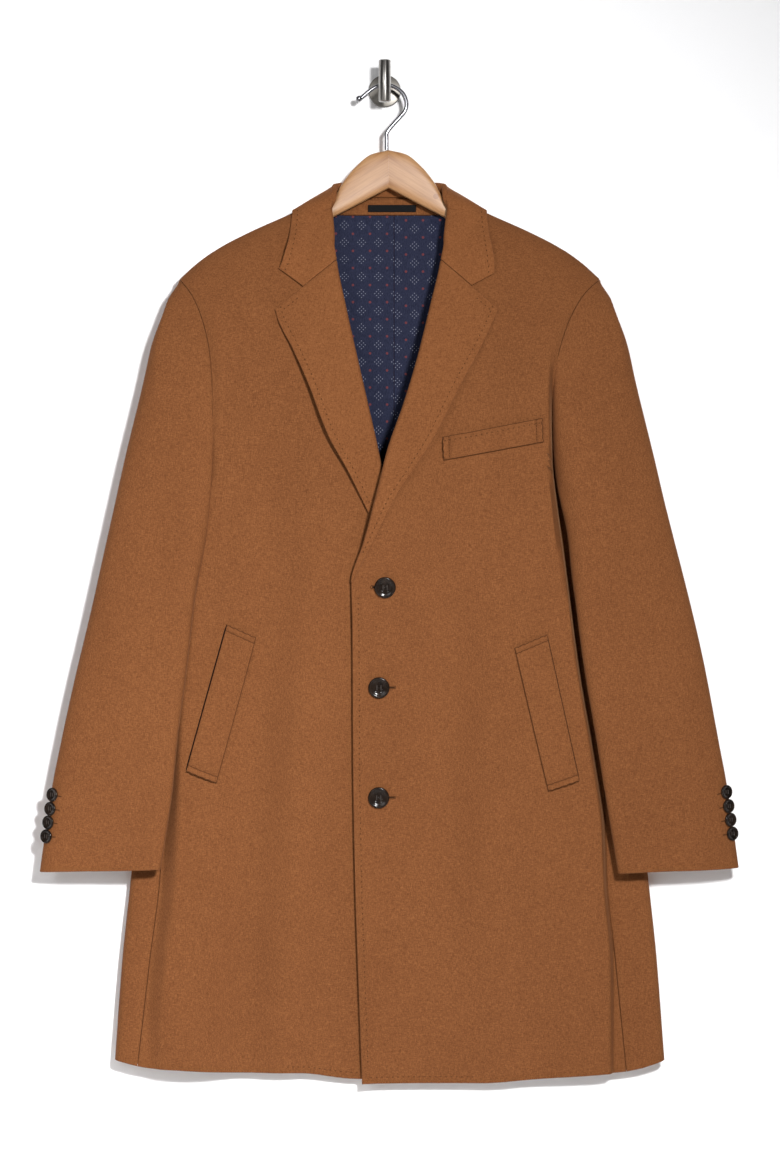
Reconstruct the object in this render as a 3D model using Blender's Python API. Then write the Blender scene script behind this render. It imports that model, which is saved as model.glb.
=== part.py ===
"""A camel notch-lapel topcoat on a wooden hanger, hung from a peg on a wall.

Metres, +Z up, with the origin in the middle of the wall plate's back face. The wall is the plane y = 0 and the
viewer looks along +Y. The cloth is worked out in three lengths: x across from the coat's own middle line, drop
below the origin, and deep, how far it stands in front of the wall.
"""

import math
from collections import namedtuple

import bmesh
import bpy
import numpy as np

# Driving sizes
AXIS_X = 0.0052
CLOTH = 0.0020
LINING = 0.0010
SEAM_GAP = 0.0003
LEFT = -1
RIGHT = 1

# Shoulders and neck
RIDGE_DEEP = 0.028
RIDGE_GAP = 0.0007
FRONT_ROUND = 0.100
BACK_ROUND = 0.085
NECK_OUT = 0.0652
NECK_DROP = 0.1200
SHOULDER_OUT = 0.2275
SHOULDER_DROP = 0.2090
BACK_NECK_DROP = 0.1190
BACK_NECK_OUT = 0.040
BACK_NECK_TURN = 0.070
UNDERARM_OUT = 0.2400
UNDERARM_DROP = 0.4520

# The side fold, where a back comes round to the side seam
FOLD_RADIUS = 0.0070
BACK_LIFT_FROM = 0.55
SIDE_SEAM_GAP = 0.0009
ROW_BEND = 14
AROUND_COUNT = 7

# Fronts: the right one laps over the left one
LAP = 0.0034
LAP_STARTS = 0.14
LAP_FULL = 0.30
LAP_LIFT = 0.0095
LIFT_X = -0.005
LIFT_DROP = 0.455
LIFT_WIDE = 0.050
LIFT_TALL = 0.085
DIP_WIDE = 0.009
DIP_INSIDE = {LEFT: 0.0020, RIGHT: 0.0045}
BEND_COLUMN = 0.60
BEND_FURTHEST = 0.86
FLOOR_COLUMN = 0.85
FLOOR_FURTHEST = 0.95
DIP_STARTS = 0.345
DIP_FULL = 0.425
HEM_FOLD = {LEFT: 0.0205, RIGHT: 0.0090}
HEM_FOLD_OUT = 0.225
HEM_FOLD_WIDE = 0.060
HEM_FOLD_STARTS = 0.78
HEM_FOLD_FULL = 1.08
ROLL_RADIUS = 0.0035
ROLL_GAP = 0.0020
ROLL_ENDS = 0.505
ROLL_FADES = 0.030

# Hanger and wall hook
HANGER_X = 0.0042
HANGER_HALF_THICK = 0.0052
HANGER_END = 0.196
HANGER_UNDER = 0.0032
CROWN_SLOPE = 0.5236
ARM_FROM = 0.0600
ARM_HEIGHT = 0.0205
ARM_TAPER = 0.030
HANGER_APEX_DROP = 0.1093
WIRE_RADIUS = 0.0023
WIRE_TIP_RADIUS = 0.0034
PLATE_RADIUS = 0.0175
PLATE_THICK = 0.0060
POST_RADIUS = 0.0045
POST_DROP = 0.0035
PEG_RADIUS = 0.0066
PEG_TOP = 0.0274
PEG_BOTTOM = -0.0176
PEG_DEEP = 0.0445

# Buttons
FRONT_BUTTON = 0.0115
FRONT_BUTTON_THICK = 0.0036
CUFF_BUTTON = 0.0076
CUFF_BUTTON_THICK = 0.0030

# Sizes of the shoulder line and the hem, by how far out they lie
Ridge = namedtuple("Ridge", "key drop")
SHOULDER = [
    Ridge(0.0000, 0.1190),
    Ridge(0.0652, 0.1200),
    Ridge(0.1100, 0.1400),
    Ridge(0.1490, 0.1570),
    Ridge(0.1830, 0.1742),
    Ridge(0.2080, 0.1915),
    Ridge(0.2275, 0.2090),
]
Hem = namedtuple("Hem", "key left right")
HEM = [
    Hem(-0.0450, 1.0790, 1.0824),
    Hem(0.0400, 1.0775, 1.0814),
    Hem(0.1000, 1.0710, 1.0814),
    Hem(0.1600, 1.0705, 1.0766),
    Hem(0.2250, 1.0662, 1.0716),
    Hem(0.2600, 1.0645, 1.0684),
    Hem(0.2990, 1.0560, 1.0560),
]

# The body, by drop: side fold and side seams from the middle, then depths from the wall
Body = namedtuple("Body", "key fold seam_left seam_right front floor_left floor_right turn back")
BODY = [
    Body(0.120, 0.2400, 0.2400, 0.2400, 0.0460, 0.0280, 0.0280, 0.0145, 0.0100),
    Body(0.250, 0.2400, 0.2400, 0.2400, 0.0520, 0.0240, 0.0240, 0.0145, 0.0080),
    Body(0.350, 0.2400, 0.2400, 0.2400, 0.0570, 0.0225, 0.0225, 0.0145, 0.0065),
    Body(0.452, 0.2434, 0.2400, 0.2400, 0.0575, 0.0205, 0.0205, 0.0138, 0.0065),
    Body(0.560, 0.2540, 0.2420, 0.2360, 0.0530, 0.0200, 0.0200, 0.0132, 0.0065),
    Body(0.700, 0.2665, 0.2440, 0.2335, 0.0445, 0.0205, 0.0205, 0.0135, 0.0065),
    Body(0.850, 0.2800, 0.2490, 0.2358, 0.0350, 0.0240, 0.0235, 0.0155, 0.0065),
    Body(0.950, 0.2900, 0.2606, 0.2455, 0.0275, 0.0280, 0.0245, 0.0190, 0.0070),
    Body(1.085, 0.2990, 0.2760, 0.2590, 0.0180, 0.0320, 0.0250, 0.0245, 0.0080),
]

# The sleeves, by drop: outer edge, inner edges, and the depths of the front and the back of the sleeve
Sleeve = namedtuple("Sleeve", "key outer inner_left inner_right front back")
SLEEVE = [
    Sleeve(0.209, 0.2275, 0.1905, 0.1799, 0.0480, 0.0140),
    Sleeve(0.231, 0.2410, 0.1905, 0.1799, 0.0520, 0.0160),
    Sleeve(0.274, 0.2553, 0.1905, 0.1799, 0.0550, 0.0180),
    Sleeve(0.318, 0.2648, 0.1905, 0.1795, 0.0570, 0.0200),
    Sleeve(0.405, 0.2857, 0.1900, 0.1816, 0.0590, 0.0240),
    Sleeve(0.448, 0.2954, 0.1936, 0.1860, 0.0600, 0.0260),
    Sleeve(0.534, 0.3162, 0.2080, 0.1978, 0.0610, 0.0265),
    Sleeve(0.630, 0.3387, 0.2192, 0.2106, 0.0600, 0.0260),
    Sleeve(0.707, 0.3542, 0.2294, 0.2238, 0.0570, 0.0260),
    Sleeve(0.760, 0.3645, 0.2348, 0.2325, 0.0535, 0.0260),
    Sleeve(0.852, 0.3780, 0.2488, 0.2478, 0.0480, 0.0255),
]

# The armhole, by degrees round it: 0 is the shoulder, 90 the front, 180 the underarm and 270 the back.
# Ring is where round the sleeve that place leads: 0 is its outer edge, 90 its front and 180 its inner edge.
Armhole = namedtuple("Armhole", "key out_left out_right drop ring")
ARMHOLE = [
    Armhole(0, 0.2275, 0.2275, 0.2090, -9),
    Armhole(30, 0.2130, 0.2090, 0.2275, 26),
    Armhole(60, 0.1995, 0.1905, 0.2620, 64),
    Armhole(90, 0.1925, 0.1800, 0.3010, 106),
    Armhole(120, 0.1905, 0.1760, 0.3450, 142),
    Armhole(145, 0.1940, 0.1800, 0.3940, 176),
    Armhole(164, 0.2110, 0.2030, 0.4310, 218),
    Armhole(180, 0.2400, 0.2400, 0.4520, 262),
    Armhole(200, 0.2330, 0.2330, 0.4100, 284),
    Armhole(235, 0.2200, 0.2200, 0.3550, 304),
    Armhole(270, 0.2140, 0.2140, 0.3000, 320),
    Armhole(315, 0.2175, 0.2175, 0.2420, 337),
    Armhole(360, 0.2275, 0.2275, 0.2090, 351),
]

# The roll lines and front edges, by drop, as out from the middle on each front's own side
Edge = namedtuple("Edge", "key left right")
FRONT_EDGE = [
    Edge(0.1200, 0.0652, 0.0652),
    Edge(0.1424, 0.0608, 0.0608),
    Edge(0.1870, 0.0572, 0.0555),
    Edge(0.2400, 0.0468, 0.0434),
    Edge(0.2960, 0.0342, 0.0295),
    Edge(0.3440, 0.0232, 0.0151),
    Edge(0.3935, 0.0120, -0.0021),
    Edge(0.4346, 0.0040, -0.0124),
    Edge(0.4943, -0.0069, -0.0279),
    Edge(0.5378, -0.0145, -0.0412),
    Edge(0.5810, -0.0145, -0.0401),
    Edge(0.7278, -0.0145, -0.0395),
    Edge(0.8593, -0.0140, -0.0374),
    Edge(0.9903, -0.0110, -0.0331),
    Edge(1.0850, -0.0090, -0.0298),
]
LAPEL_EDGE = [
    Edge(0.2425, 0.1236, 0.1173),
    Edge(0.2560, 0.1195, 0.1118),
    Edge(0.2854, 0.1044, 0.0977),
    Edge(0.3237, 0.0873, 0.0770),
    Edge(0.3789, 0.0661, 0.0492),
    Edge(0.4170, 0.0449, 0.0249),
    Edge(0.4464, 0.0303, 0.0055),
    Edge(0.4753, 0.0165, -0.0088),
    Edge(0.5064, 0.0015, -0.0244),
    Edge(0.5378, -0.0135, -0.0402),
]
GORGE_DROP = 0.1890
PEAK_BELOW = 0.0535
PEAK_FADES = 0.75
END_ABOVE = 0.0060
LAPEL_GAP = 0.0009
LAPEL_STANDS = 0.0030

# The collar, by share of the way from the front end (0) to the centre back (1)
Collar = namedtuple(
    "Collar",
    "key base_out base_drop base_deep crest_out crest_drop crest_deep edge_out edge_drop edge_deep swell",
)
COLLAR = [
    Collar(0.00, 0.0612, 0.1880, 0.0500, 0.0566, 0.1880, 0.0535, 0.1160, 0.1985, 0.0560, 0.000),
    Collar(0.16, 0.0626, 0.1700, 0.0480, 0.0578, 0.1700, 0.0515, 0.1125, 0.1823, 0.0525, 0.001),
    Collar(0.32, 0.0648, 0.1500, 0.0440, 0.0598, 0.1495, 0.0480, 0.1080, 0.1615, 0.0475, 0.002),
    Collar(0.46, 0.0655, 0.1340, 0.0395, 0.0610, 0.1310, 0.0440, 0.1055, 0.1425, 0.0410, 0.003),
    Collar(0.58, 0.0645, 0.1215, 0.0335, 0.0612, 0.1140, 0.0385, 0.1035, 0.1298, 0.0316, 0.003),
    Collar(0.68, 0.0630, 0.1175, 0.0265, 0.0606, 0.1060, 0.0275, 0.0985, 0.1312, 0.0180, 0.003),
    Collar(0.78, 0.0540, 0.1172, 0.0190, 0.0525, 0.1030, 0.0185, 0.0840, 0.1480, 0.0080, 0.002),
    Collar(0.88, 0.0350, 0.1172, 0.0120, 0.0340, 0.1020, 0.0120, 0.0500, 0.1600, 0.0060, 0.001),
    Collar(1.00, 0.0000, 0.1172, 0.0100, 0.0000, 0.1020, 0.0105, 0.0000, 0.1630, 0.0055, 0.001),
]
NOTCH_OUT = {LEFT: 0.0944, RIGHT: 0.0897}
NOTCH_DROP = {LEFT: 0.2164, RIGHT: 0.2164}
TIP_OUT = {LEFT: 0.1200, RIGHT: 0.1128}
TIP_DROP = {LEFT: 0.1980, RIGHT: 0.2040}
COLLAR_FOLD = 0.0034
COLLAR_FRONT_GAP = 0.0018
COLLAR_BACK_GAP = 0.0012
COLLAR_STANDS_FROM = 0.46

# The welts' corners: the upper inner, upper outer, lower outer and lower inner one
Welt = namedtuple("Welt", "name side upper_in upper_out lower_out lower_in")
WELTS = [
    Welt("chest_welt", RIGHT, (0.0575, 0.3815), (0.1640, 0.3610), (0.1650, 0.3862), (0.0580, 0.4060)),
    Welt("pocket_welt_left", LEFT, (0.1445, 0.5965), (0.1750, 0.5825), (0.2195, 0.7410), (0.1875, 0.7540)),
    Welt("pocket_welt_right", RIGHT, (0.1340, 0.6075), (0.1690, 0.5930), (0.2045, 0.7510), (0.1715, 0.7625)),
]

# The buttons' places
Button = namedtuple("Button", "name x drop")
FRONT_BUTTONS = [
    Button("front_button_1", -0.0048, 0.5420),
    Button("front_button_2", -0.0114, 0.6504),
    Button("front_button_3", -0.0117, 0.7693),
]
CUFF_BUTTON_DROPS = {LEFT: (0.7665, 0.7817, 0.7965, 0.8115), RIGHT: (0.7632, 0.7784, 0.7932, 0.8082)}
CUFF_BUTTON_ANGLE = 26

# The hanger's crown, by how far out it lies: its upper edge
Arm = namedtuple("Arm", "key top")
HANGER_CROWN = [
    Arm(0.0000, 0.0678),
    Arm(0.0185, 0.0722),
    Arm(0.0357, 0.0858),
    Arm(0.0510, 0.1050),
    Arm(0.0600, 0.1208),
    Arm(0.0670, 0.1240),
]

# The hook's wire: x and z of the points that it bends through
HOOK_PATH = [
    (0.0020, -0.0677),
    (0.0020, -0.0540),
    (0.0030, -0.0475),
    (0.0140, -0.0345),
    (0.0214, -0.0260),
    (0.0236, -0.0170),
    (0.0198, -0.0065),
    (0.0111, 0.0005),
    (0.0000, 0.0036),
    (-0.0090, 0.0012),
    (-0.0165, -0.0035),
    (-0.0247, -0.0103),
    (-0.0312, -0.0130),
]


# Reading the tables


def read(rows, column, at):
    """A column of a table at any key, on a smooth curve that keeps the rows' own rises and falls."""
    keys = np.array([row.key for row in rows], dtype=float)
    values = np.array([getattr(row, column) for row in rows], dtype=float)
    steps = np.diff(keys)
    slopes = np.diff(values) / steps
    before = slopes[:-1]
    after = slopes[1:]
    total = np.where(before * after > 0, before + after, 1.0)
    middle = np.where(before * after > 0, 2 * before * after / total, 0.0)
    tangents = np.concatenate([slopes[:1], middle, slopes[-1:]])
    at = np.clip(np.asarray(at, dtype=float), keys[0], keys[-1])
    i = np.clip(np.searchsorted(keys, at) - 1, 0, len(steps) - 1)
    t = (at - keys[i]) / steps[i]
    start = values[i] * (1 + 2 * t) * (1 - t) ** 2 + values[i + 1] * t**2 * (3 - 2 * t)
    return start + steps[i] * (tangents[i] * t * (1 - t) ** 2 - tangents[i + 1] * t**2 * (1 - t))


def ease(low, high, at):
    """0 below low, 1 above high, and a smooth rise between."""
    t = np.clip((np.asarray(at, dtype=float) - low) / (high - low), 0, 1)
    return t * t * (3 - 2 * t)


def quarter_round(t):
    """The rise of a quarter of an ellipse, from 0 to 1."""
    t = np.clip(t, 0, 1)
    return np.sqrt(1 - (1 - t) ** 2)


def on_side(side, left, right):
    return left if side == LEFT else right


def world(x, deep, drop):
    x, deep, drop = np.broadcast_arrays(x, deep, drop)
    return np.stack([AXIS_X + x, -deep, -drop], axis=-1)


def normals_of(grid):
    """Unit normals of a grid of points, by the way its rows and columns run."""
    down = np.gradient(grid, axis=0)
    across = np.gradient(grid, axis=1)
    normal = np.cross(across, down)
    return normal / np.linalg.norm(normal, axis=-1, keepdims=True)


# The body's surfaces


def front_deep(side, out, drop):
    """How far the middle of a front's cloth stands off the wall."""
    below = drop - read(SHOULDER, "drop", out)
    ridge = RIDGE_DEEP + RIDGE_GAP
    deep = ridge + (read(BODY, "front", drop) - ridge) * quarter_round(below / FRONT_ROUND)
    grown = ease(HEM_FOLD_STARTS, HEM_FOLD_FULL, drop)
    deep = deep + HEM_FOLD[side] * np.exp(-(((out - HEM_FOLD_OUT) / HEM_FOLD_WIDE) ** 2)) * grown
    if side == RIGHT:
        shown = ease(LAP_STARTS, LAP_FULL, drop)
        spread = ((out - LIFT_X) / LIFT_WIDE) ** 2 + ((drop - LIFT_DROP) / LIFT_TALL) ** 2
        deep = deep + LAP * shown + LAP_LIFT * np.exp(-spread)
    edge = dip_edge(side, drop)
    dip = ease(edge - DIP_WIDE, edge, out) * ease(DIP_STARTS, DIP_FULL, drop)
    floor = read(BODY, on_side(side, "floor_left", "floor_right"), drop)
    return deep + (floor - deep) * dip


def back_deep(out, drop):
    """How far the middle of the back's cloth stands off the wall, inside the side fold."""
    back = read(BODY, "back", drop)
    ridge = back + (RIDGE_DEEP - RIDGE_GAP - back) * ease(BACK_NECK_OUT, BACK_NECK_TURN, out)
    below = drop - read(SHOULDER, "drop", out)
    deep = back + (ridge - back) * (1 - quarter_round(below / BACK_ROUND))
    fold = read(BODY, "fold", drop)
    lifted = read(BODY, "turn", drop) - fold_radius(drop)
    return deep + np.maximum(lifted - back, 0) * ease(BACK_LIFT_FROM, 1.0, out / fold)


def fold_radius(drop):
    return np.minimum(read(BODY, "turn", drop) - read(BODY, "back", drop), FOLD_RADIUS)


def hem_drop(side, out):
    return read(HEM, on_side(side, "left", "right"), out)


def armhole_at(side, degrees):
    out = read(ARMHOLE, on_side(side, "out_left", "out_right"), degrees)
    return out, read(ARMHOLE, "drop", degrees)


def front_edge(side, drop):
    """The inner edge of a front: behind the rolls of lapel and collar, then the front edge itself."""
    edge = read(FRONT_EDGE, on_side(side, "left", "right"), drop)
    rolled = 1 - ease(ROLL_ENDS, ROLL_ENDS + ROLL_FADES, drop)
    return edge + (ROLL_RADIUS + CLOTH / 2 + ROLL_GAP) * rolled


def hem_ends(side):
    """The drop of the hem at the front edge, at the side seam and at the centre back."""
    seam = read(BODY, on_side(side, "seam_left", "seam_right"), HEM_FOLD_FULL)
    centre_back = (hem_drop(LEFT, 0.0) + hem_drop(RIGHT, 0.0)) / 2
    front = hem_drop(side, front_edge(side, HEM_FOLD_FULL))
    return [float(front), float(hem_drop(side, seam)), float(centre_back)]


def side_drops(side, rows):
    """The drop of each row at the armhole or the side seam."""
    return SHOULDER_DROP + (hem_ends(side)[1] - SHOULDER_DROP) * rows


def dip_edge(side, drop):
    """How far out the front has turned back behind the sleeve."""
    inner = read(SLEEVE, on_side(side, "inner_left", "inner_right"), drop)
    seam = read(BODY, on_side(side, "seam_left", "seam_right"), drop)
    return np.minimum(inner - DIP_INSIDE[side], seam - SEAM_GAP)


def shoulder_bend(along, start):
    """How far the shoulder line lies below a straight one, by the share of the way from start to its end."""
    top = read(SHOULDER, "drop", start)
    straight = top + (SHOULDER_DROP - top) * along
    return read(SHOULDER, "drop", start + (SHOULDER_OUT - start) * along) - straight


def hem_bend(side, along, start, end):
    """How far the hem lies below a straight one between two places."""
    first = hem_drop(side, start)
    straight = first + (hem_drop(side, end) - first) * along
    return hem_drop(side, start + (end - start) * along) - straight


def front_grid(side, columns, rows):
    """A front from the roll line or front edge out to the armhole and the side seam."""
    hem_in = hem_ends(side)[0]
    grid = []
    for q, drop_out in zip(rows, side_drops(side, rows)):
        drop_in = NECK_DROP + (hem_in - NECK_DROP) * q
        inner = float(front_edge(side, drop_in))
        if drop_out < UNDERARM_DROP:
            outer = float(armhole_at(side, front_degrees(drop_out))[0])
        else:
            outer = float(read(BODY, on_side(side, "seam_left", "seam_right"), drop_out))
        outer -= SEAM_GAP / 2
        start = float(dip_edge(side, drop_out))
        bend = min(start - DIP_WIDE, inner + BEND_FURTHEST * (outer - inner))
        floor = min(start + SEAM_GAP, inner + FLOOR_FURTHEST * (outer - inner))
        out = np.interp(columns, [0, BEND_COLUMN, FLOOR_COLUMN, 1], [inner, bend, floor, outer])
        along = (out - inner) / (outer - inner)
        drop = drop_in + (drop_out - drop_in) * along
        drop = drop + shoulder_bend(along, NECK_OUT) * (1 - q) ** ROW_BEND
        drop = drop + hem_bend(side, along, inner, outer) * q**ROW_BEND
        grid.append(world(side * out, front_deep(side, out, drop), drop))
    return np.array(grid)


def front_degrees(drop):
    """The place on the front half of the armhole at a drop."""
    return np.interp(drop, ARMHOLE_FRONT_DROPS, ARMHOLE_FRONT_DEGREES)


def back_degrees(drop):
    """The place on the back half of the armhole at a drop."""
    return np.interp(drop, ARMHOLE_BACK_DROPS, ARMHOLE_BACK_DEGREES)


ARMHOLE_FRONT_DEGREES = np.linspace(0, 180, 181)
ARMHOLE_FRONT_DROPS = read(ARMHOLE, "drop", ARMHOLE_FRONT_DEGREES)
ARMHOLE_BACK_DEGREES = np.linspace(360, 180, 181)
ARMHOLE_BACK_DROPS = read(ARMHOLE, "drop", ARMHOLE_BACK_DEGREES)


def around_fold(side, drop, outer, middle):
    """A back's way from the side seam to behind the side fold, as out, drop and deep."""
    turn = float(read(BODY, "turn", drop))
    radius = float(fold_radius(drop))
    first = 90.0
    if outer > middle:
        first = math.degrees(math.acos(min((outer - middle) / radius, 1)))
        starts = np.radians([first, first - 4])
        points = [(middle + radius * math.cos(tilt), turn + radius * math.sin(tilt)) for tilt in starts]
    else:
        seam_deep = float(front_deep(side, np.array(outer), np.array(drop)))
        points = [(outer, seam_deep), ((outer + middle) / 2, (seam_deep + turn + radius) / 2)]
    for angle in np.linspace(min(first - 10, 84), -60, 5):
        tilt = math.radians(angle)
        points.append((middle + radius * math.cos(tilt), turn + radius * math.sin(tilt)))
    return np.array([(out, drop, deep) for out, deep in points])


def back_row(side, q, drop_out, outer, flat):
    """One row of a back: from the armhole or the side seam to the centre back, as out, drop and deep."""
    hem_in = hem_ends(side)[2]
    drop_in = BACK_NECK_DROP + (hem_in - BACK_NECK_DROP) * q
    wraps = drop_out > UNDERARM_DROP - 0.0001
    start = outer
    if wraps:
        start = float(read(BODY, "fold", drop_out) - fold_radius(drop_out))
    out = start * flat + SEAM_GAP / 2 * (1 - flat)
    drop = drop_in + (drop_out - drop_in) * flat
    drop = drop + shoulder_bend(flat, 0.0) * (1 - q) ** ROW_BEND
    drop = drop + hem_bend(side, flat, 0.0, start) * q**ROW_BEND
    path = np.stack([out, drop, back_deep(out, drop)], axis=1)
    if wraps:
        around = around_fold(side, drop_out, outer, start)
        around[:, 1] += (hem_drop(side, around[:, 0]) - hem_drop(side, outer)) * q**ROW_BEND
        path[:, 1] += (hem_drop(side, start) - hem_drop(side, outer)) * flat * q**ROW_BEND
        return np.concatenate([around, path])
    share = np.linspace(0, 1, AROUND_COUNT + 1)[:-1, None]
    return np.concatenate([path[0] + (path[1] - path[0]) * share, path[1:]])


def back_grid(side, flat, rows):
    """A back from the armhole and the side seam to the centre back."""
    grid = []
    for q, drop_out in zip(rows, side_drops(side, rows)):
        if drop_out > UNDERARM_DROP - 0.0001:
            seam = float(read(BODY, on_side(side, "seam_left", "seam_right"), drop_out))
            outer = seam + SIDE_SEAM_GAP - SEAM_GAP / 2
            shape = flat
        else:
            outer = float(armhole_at(side, back_degrees(drop_out))[0])
            shape = np.concatenate([[1.0, 0.90], flat[1:]])
        row = back_row(side, q, drop_out, outer, shape)
        grid.append(world(side * row[:, 0], row[:, 2], row[:, 1]))
    return np.array(grid)


# The sleeves, lapels and collar

CUFF_OUTER = {LEFT: 0.8505, RIGHT: 0.8460}
CUFF_INNER = {LEFT: 0.8470, RIGHT: 0.8515}
SLEEVE_SQUARE_OUT = 0.70
SLEEVE_SQUARE_DEEP = 0.75
SLEEVE_GAP = 0.0015
SLEEVE_BACK_GAP = 0.0028
SETTLE_OUTER = 0.03
SETTLE_INNER = 0.37
UNDERARM_EASE = 0.0044


def power_round(value, power):
    return np.sign(value) * np.abs(value) ** power


def armhole_deep(side, degrees, out, drop):
    """The depth of the armhole seam, on the front as far as the underarm and then on the back."""
    if degrees <= 180:
        return float(front_deep(side, np.array(out), np.array(drop)))
    underarm = float(front_deep(side, np.array(UNDERARM_OUT), np.array(UNDERARM_DROP)))
    behind = float(back_deep(np.array(out), np.array(drop)))
    return underarm + (behind - underarm) * float(ease(184, 205, degrees))


def sleeve_grid(side, degrees, rows):
    """A sleeve from the armhole to the cuff: rows run down it and columns run round it."""
    inner_column = on_side(side, "inner_left", "inner_right")
    columns = []
    for place in degrees:
        whole = place % 360
        out_0, drop_0 = (float(value) for value in armhole_at(side, whole))
        laid_over = float(ease(118, 150, whole) * (1 - ease(186, 212, whole)))
        deep_0 = armhole_deep(side, whole, out_0, drop_0) + (CLOTH + SLEEVE_GAP) * laid_over
        out_0 += (SLEEVE_GAP if whole <= 180 else SLEEVE_BACK_GAP) * (1 - laid_over)
        ring = math.radians(float(read(ARMHOLE, "ring", whole)))
        across = math.cos(ring)
        toward = math.sin(ring)
        cuff = CUFF_INNER[side] + (CUFF_OUTER[side] - CUFF_INNER[side]) * (1 + across) / 2
        drop = drop_0 + (cuff - drop_0) * rows
        outer = read(SLEEVE, "outer", drop)
        inner = read(SLEEVE, inner_column, drop)
        front = read(SLEEVE, "front", drop)
        back = read(SLEEVE, "back", drop)
        ring_out = (outer + inner) / 2 + (outer - inner) / 2 * power_round(across, SLEEVE_SQUARE_OUT)
        ring_deep = (front + back) / 2 + (front - back) / 2 * power_round(toward, SLEEVE_SQUARE_DEEP)
        settles = SETTLE_OUTER + (SETTLE_INNER - SETTLE_OUTER) * (1 - across) / 2
        out = out_0 + (ring_out - out_0) * ease(0, settles, rows)
        deep = deep_0 + (ring_deep - deep_0) * ease(0, settles * (0.8 - 0.45 * laid_over), rows)
        columns.append(world(side * out, deep, drop))
    return np.stack(columns, axis=1)


def lapel_row(side, q, turns, leaf):
    """One row of a lapel: round the roll line from behind, then over the front to the lapel's own edge."""
    column = on_side(side, "left", "right")
    roll_drop = GORGE_DROP + SEAM_GAP + (ROLL_ENDS - GORGE_DROP) * q
    edge_drop = roll_drop + PEAK_BELOW * (1 - ease(0, PEAK_FADES, q)) - END_ABOVE * q
    roll = np.array([float(read(FRONT_EDGE, column, roll_drop)), roll_drop])
    edge = np.array([float(read(LAPEL_EDGE, column, edge_drop)), edge_drop])
    along = (edge - roll) / np.linalg.norm(edge - roll)
    centre = roll + along * (ROLL_RADIUS + CLOTH / 2)
    seat = front_deep(side, centre[0], centre[1])
    row = []
    for angle in turns:
        tilt = math.radians(angle)
        out, drop = centre - along * ROLL_RADIUS * math.cos(tilt)
        row.append(world(side * out, seat + ROLL_RADIUS * (1 + math.sin(tilt)), drop))
    tip = CLOTH + LAPEL_GAP + LAPEL_STANDS * math.sin(math.pi * min(q * 1.15, 1))
    for s in leaf:
        out, drop = centre + (edge - centre) * s
        stands = 2 * ROLL_RADIUS + (tip - 2 * ROLL_RADIUS) * float(ease(0, 1, s))
        row.append(world(side * out, front_deep(side, out, drop) + stands, drop))
    return row


def lapel_grid(side, turns, leaf, rows):
    return np.array([lapel_row(side, q, turns, leaf) for q in rows])


def spline(points, steps):
    """Points at even steps along a smooth curve through the given ones."""
    points = np.array(points)
    padded = np.concatenate([[2 * points[0] - points[1]], points, [2 * points[-1] - points[-2]]])
    found = []
    for at in np.linspace(0, len(points) - 1, steps):
        i = min(int(at), len(points) - 2)
        t = at - i
        a, b, c, d = padded[i : i + 4]
        bend = (2 * a - 5 * b + 4 * c - d) * t + (3 * b - a - 3 * c + d) * t * t
        found.append(b + 0.5 * t * (c - a + bend))
    return np.array(found)


def collar_row(side, share, steps):
    """One section of the collar: up the stand, over the fold and down the leaf."""
    row = {name: float(read(COLLAR, name, share)) for name in Collar._fields[1:]}
    base = np.array([row["base_out"], row["base_drop"], row["base_deep"]])
    crest = np.array([row["crest_out"], row["crest_drop"], row["crest_deep"]])
    edge = np.array([row["edge_out"], row["edge_drop"], row["edge_deep"]])
    behind = float(ease(0.40, 0.54, share))
    roll = float(read(FRONT_EDGE, on_side(side, "left", "right"), crest[1])) + CLOTH / 2
    seat = float(front_deep(side, np.array(roll + ROLL_RADIUS), np.array(crest[1])))
    front_base = np.array([roll + ROLL_RADIUS, crest[1], seat])
    front_crest = np.array([roll, crest[1], seat + COLLAR_FOLD])
    base = front_base + (base - front_base) * behind
    crest = front_crest + (crest - front_crest) * behind
    end = max(0.0, 1 - share / 0.30) ** 2
    edge[:2] += (np.array([TIP_OUT[side], TIP_DROP[side]]) - edge[:2]) * end
    swing = math.radians(90 * float(ease(0.36, 0.64, share)) + 90 * float(ease(0.68, 0.88, share)))
    leaf_way = np.array([math.sin(swing), 0, math.cos(swing)])
    lift = float(ease(0.34, 0.60, share))
    up = np.array([lift - 1, -lift, 0.0])
    up /= np.linalg.norm(up)
    inside = crest - (up + leaf_way) * COLLAR_FOLD
    outside = crest - (up - leaf_way) * COLLAR_FOLD
    middle = (outside + edge) / 2 + np.array([0.5, -0.5, math.cos(swing)]) * row["swell"]
    notch = np.array([NOTCH_OUT[side], NOTCH_DROP[side], edge[2]])
    middle += (notch - middle) * end
    for point in (middle, edge):
        if share < 0.50:
            point[2] = float(front_deep(side, point[0], point[1])) + CLOTH + COLLAR_FRONT_GAP
        if share > 0.74:
            limit = float(back_deep(point[0], point[1])) - CLOTH - COLLAR_BACK_GAP
            point[2] = min(point[2], limit)
    if share < COLLAR_STANDS_FROM:
        path = [base, crest, outside, (outside + middle) / 2, middle, edge]
    else:
        path = [base, inside, crest, outside, middle, edge]
    path = spline(path, steps)
    return world(side * path[:, 0], path[:, 2], path[:, 1])


NOTCH_STEP = 0.8
GORGE_EASE = 0.22
GORGE_GAP = 0.0016


def along_line(points, count):
    """Points at even lengths along a line of points."""
    points = np.array(points)
    lengths = np.concatenate([[0], np.cumsum(np.linalg.norm(np.diff(points, axis=0), axis=1))])
    at = np.linspace(0, lengths[-1], count)
    return np.stack([np.interp(at, lengths, points[:, k]) for k in range(3)], axis=1)


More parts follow.
